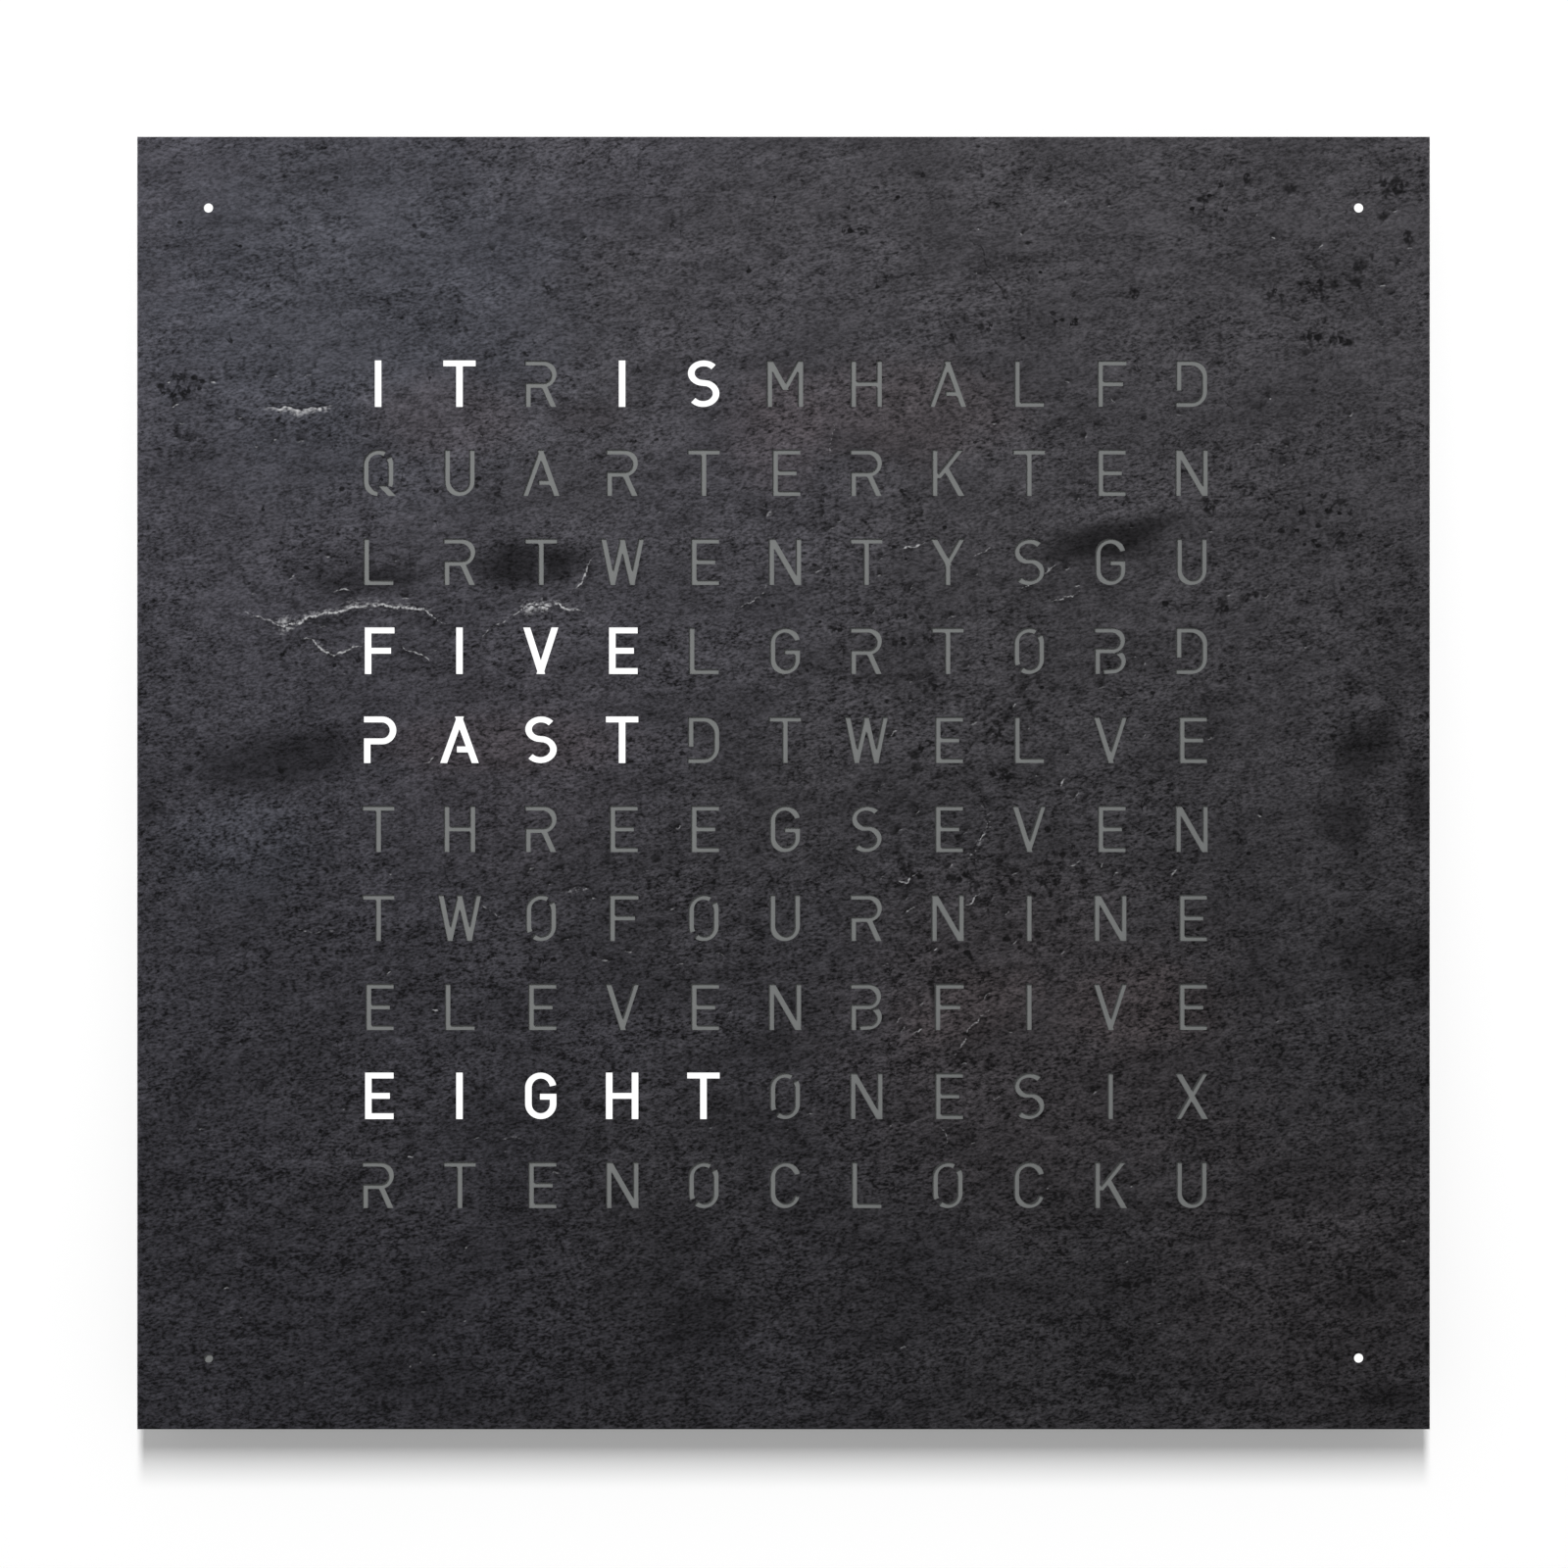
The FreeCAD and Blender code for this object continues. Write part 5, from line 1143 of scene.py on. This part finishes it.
class Pattern(Nodes):
    # a Geometry Nodes tree with named sizes, which makes one mesh
    prefix = "GeometryNode"

    def __init__(self, name, sizes):
        super().__init__(bpy.data.node_groups.new(name, "GeometryNodeTree"))
        self.name = name
        self.sizes = sizes
        self.socket("Geometry", "Geometry", "OUTPUT")
        for label, value in sizes.items():
            self.socket(label, "Int" if isinstance(value, int) else "Float")
        self.socket("Material", "Material")
        self.given = self.tree.nodes.new("NodeGroupInput")

    def socket(self, label, kind, way="INPUT"):
        self.tree.interface.new_socket(label, in_out=way, socket_type="NodeSocket" + kind)

    def size(self, label):
        return Value(self, self.given.outputs[label])

    def vector(self, x=0.0, y=0.0, z=0.0):
        return self.add("CombineXYZ", {0: x, 1: y, 2: z})

    def place(self, geometry, at, turned=(0, 0, 0)):
        return self.add("Transform", {"Geometry": geometry, "Translation": at, "Rotation": turned})

    def box(self, x, y, z, at):
        return self.place(self.add("MeshCube", {"Size": self.vector(x, y, z)}), at)

    def join(self, parts):
        return self.add("JoinGeometry", {"Geometry": parts})

    def copies(self, instance, points, **more):
        return self.add("InstanceOnPoints", {"Points": points, "Instance": instance, **more})

    def row(self, instance, count, start, offset, **more):
        # copies of the instance from the start, each the offset further
        line = self.add("MeshLine", {"Count": count, "Start Location": start, "Offset": offset})
        return self.copies(instance, line, **more)

    def spread(self, instance, count, pitch, at):
        # copies of the instance on a grid that stands on the face, count and pitch across and up
        wide, tall = ((n - 1) * p for n, p in zip(count, pitch))
        sockets = {"Size X": wide, "Size Y": tall, "Vertices X": count[0], "Vertices Y": count[1]}
        return self.copies(instance, self.place(self.add("MeshGrid", sockets), at, (math.radians(90), 0, 0)))

    def made(self, geometry, material, body, slot):
        real = self.add("RealizeInstances", {"Geometry": geometry})
        whole = self.add("SetMaterial", {"Geometry": real, "Material": self.size("Material")})
        output = self.tree.nodes.new("NodeGroupOutput")
        self.tree.links.new(whole.socket, output.inputs["Geometry"])
        maker = addObject(self.name + "Maker", bpy.data.meshes.new(self.name + "Maker"))
        modifier = maker.modifiers.new(self.name, "NODES")
        modifier.node_group = self.tree
        for item in self.tree.interface.items_tree:
            if item.in_out == "INPUT":
                modifier[item.identifier] = material if item.name == "Material" else self.sizes[item.name]
        maker.update_tag()
        graph = bpy.context.evaluated_depsgraph_get()
        mesh = bpy.data.meshes.new_from_object(maker.evaluated_get(graph))
        mesh.name = self.name
        bpy.data.objects.remove(maker)
        piece = addObject(self.name, mesh)
        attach(piece, body)
        print(self.name, len(mesh.polygons), "faces")


lens = {
    "radius": 1.75 * mm,
    "top": 0.8,  # radius in front, as a share
    "high": 0.14 * mm,
    "sides": 14,
    "reach": 3 * mm,  # from a light's middle to where it no longer counts as that light
    "glow": 3.0,
}


def makeLenses():
    # the phosphor over each light, the small corner lights among them
    pattern = Pattern("ledLenses", {
        "Radius": lens["radius"], "High": lens["high"], "Columns": columns, "Rows": rows,
        "Pitch X": columnX(1) - columnX(0), "Pitch Z": rowZ(0) - rowZ(1),
        "Corner Pitch": 2 * middle("minute_shaft_top_right").x,
    })
    radius, high, across, up, pitchX, pitchZ, pitch = (pattern.size(label) for label in pattern.sizes)
    cone = pattern.add("MeshCone", {"Vertices": lens["sides"], "Radius Top": radius * lens["top"],
                                    "Radius Bottom": radius, "Depth": high})
    cap = pattern.place(cone, (0, 0, 0), (math.radians(90), 0, 0))
    centre = (ledLow + ledHigh) / 2
    letters = pattern.spread(cap, (across, up), (pitchX, pitchZ), (centre.x, ledLow.y, centre.z))
    ends = pattern.spread(cap, (2, 2), (pitch, pitch), (0, ledLow.y, 0))
    pattern.made(pattern.join([letters, ends]), lensFinish(), "clock_body", "led_package")


def lensFinish():
    # yellowish phosphor gel; the lights that are on shine
    finish = Finish("phosphor")
    across, _, height = finish.axes()
    lit, reach = 0, lens["reach"]
    for row, first, last in dial["lit"]:
        inX = (across > columnX(first) - reach) * (across < columnX(last) + reach)
        lit = lit + inX * (height > rowZ(row) - reach) * (height < rowZ(row) + reach)
    for corner in litCorners:
        centre = middle("minute_shaft_" + corner)
        lit = lit + finish.disc(centre.x, centre.z, reach)
    colour = finish.mix(finish.grain(0.5 * mm), tint(214, 196, 96), tint(226, 212, 128))
    glow = finish.mix(lit, (0, 0, 0, 1), (1, 0.98, 0.95, 1))
    return finish.done(colour, 0.3, shine=0.5, glow=glow, glowStrength=lens["glow"])


legs = {"Wide": 0.4 * mm, "Reach": 0.7 * mm, "Thick": 0.2 * mm, "Shoulder": 0.9 * mm}

chips = [  # in mm: middle, how far from there the legs' sides are, their turns, legs on each, pitch
    ((-22, -194), 6.0, (0, 90, 180, 270), 11, 0.95),
    ((-44, -188.5), 3.75, (0, 180), 12, 1.2),
    ((-44, -200), 3.75, (0, 180), 12, 1.2),
    ((52, -191.5), 4.5, (180,), 3, 2.3),
]


def makeLegs():
    pattern = Pattern("chipLegs", legs)
    wide, reach, thick, shoulder = (pattern.size(label) for label in legs)
    out = pattern.box(wide, thick, reach * 0.5, pattern.vector(0, 0 - shoulder, reach * 0.2))
    drop = pattern.box(wide, shoulder, thick, pattern.vector(0, shoulder * -0.5, reach * 0.45))
    foot = pattern.box(wide, thick, reach * 0.6, pattern.vector(0, thick * -0.5, reach * 0.7))
    leg = pattern.join([out, drop, foot])
    sides = []
    for (x, z), face, angles, count, pitch in chips:
        for angle in angles:
            row = pattern.row(leg, count, ((1 - count) / 2 * pitch * mm, 0, face * mm), (pitch * mm, 0, 0))
            sides.append(pattern.place(row, (x * mm, boardFront, z * mm), (0, math.radians(angle), 0)))
    pattern.made(pattern.join(sides), metal("tinnedLegs", tint(200, 201, 203), 0.3, (1, 1, 1), 0.2 * mm),
                 "clock_body", "crystal_can")


smallPart = {"Long": 1.6 * mm, "Wide": 0.85 * mm, "High": 0.55 * mm, "End": 0.35 * mm}

ceramic = {"high": 0.92, "wide": 0.94, "seen": 0.98}  # the body between the ends, as shares of their sizes

smallGroups = [  # middle in mm, how many across and up, pitch across and up in mm
    ((-20, -206.8), (6, 1), (4.0, 1)), ((-32.3, -194), (1, 6), (1, 3.4)), ((66, -196), (4, 5), (3.2, 4.2)),
    ((-70.6, -197), (2, 4), (3.0, 3.8)), ((10, -204), (2, 2), (3.4, 3.4)),
]


def makeSmallParts():
    pattern = Pattern("smallParts", smallPart)
    long, wide, high, end = (pattern.size(label) for label in smallPart)
    half, bodyHigh, bodyWide = high * -0.5, high * ceramic["high"], wide * ceramic["wide"]
    parts = [pattern.box(long - end * 2, bodyHigh, bodyWide, pattern.vector(0, half, 0))]
    for side in (-0.5, 0.5):
        parts.append(pattern.box(end, high, wide, pattern.vector((long - end) * side, half, 0)))
    part = pattern.join(parts)
    groups = [pattern.spread(part, count, (across * mm, up * mm), (x * mm, boardFront, z * mm))
              for (x, z), count, (across, up) in smallGroups]
    pattern.made(pattern.join(groups), smallPartFinish(), "clock_body", "chip_epoxy")


def smallPartFinish():
    # ceramic bodies of two kinds between tinned ends, told apart by where they are
    finish = Finish("ceramicParts")
    raised = finish.axes()[1] < boardFront - ceramic["high"] * smallPart["High"] * ceramic["seen"]
    kind = finish.cells(3.6 * mm, finish.place((1, 1000, 1)), "Color")
    grain = finish.grain(0.2 * mm)
    shade = finish.mix(kind > 0.5, tint(150, 116, 82), tint(36, 36, 38))
    shade = finish.mix(grain * 0.3, shade, tint(90, 80, 70))
    shade = finish.mix(raised, shade, tint(196, 197, 199))
    return finish.done(shade, 0.4 + grain * 0.1, grain, strength=0.4, metal=raised * 0.9)


def makeRidges():
    # the round back of each core along the flat cable, turning the corner with it
    low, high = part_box("bus_ribbon")
    pattern = Pattern("cableCores", {"Cores": round(cable["wide"] / cable["pitch"]), "Pitch": cable["pitch"],
                                     "Up": high.z - low.z, "Across": high.x - low.x})
    pitch = pattern.size("Pitch")
    index = pattern.add("InputIndex")
    runs = []
    for label, turned in (("Up", (0, 0, 0)), ("Across", (0, math.radians(90), 0))):
        whole = pattern.size(label)
        sockets = {"Vertices": 8, "Radius": pitch * cable["round"], "Depth": whole}
        rod = pattern.add("MeshCylinder", sockets, fill_type="NONE")
        rod = pattern.place(rod, pattern.vector(0, 0, whole * 0.5))
        share = (whole - (index + 0.5) * pitch) / whole
        start, offset = (pattern.vector(step, 0, step) for step in (pitch * 0.5, pitch))
        runs.append(pattern.row(rod, pattern.size("Cores"), start, offset, Rotation=turned,
                                Scale=pattern.vector(1.0, 1.0, share)))
    ridges = pattern.place(pattern.join(runs), (low.x, low.y, low.z))
    pattern.made(ridges, flatCable("coreBacks"), "clock_body", "ribbon_cable")


makeCamera()
makeFace()
print("stone and letters made")
dressNodes()
makeLenses()
makeLegs()
makeSmallParts()
makeRidges()
print("small parts made")
stagePlanes = makeRoom()
makeWorld()
makeLight(stagePlanes)
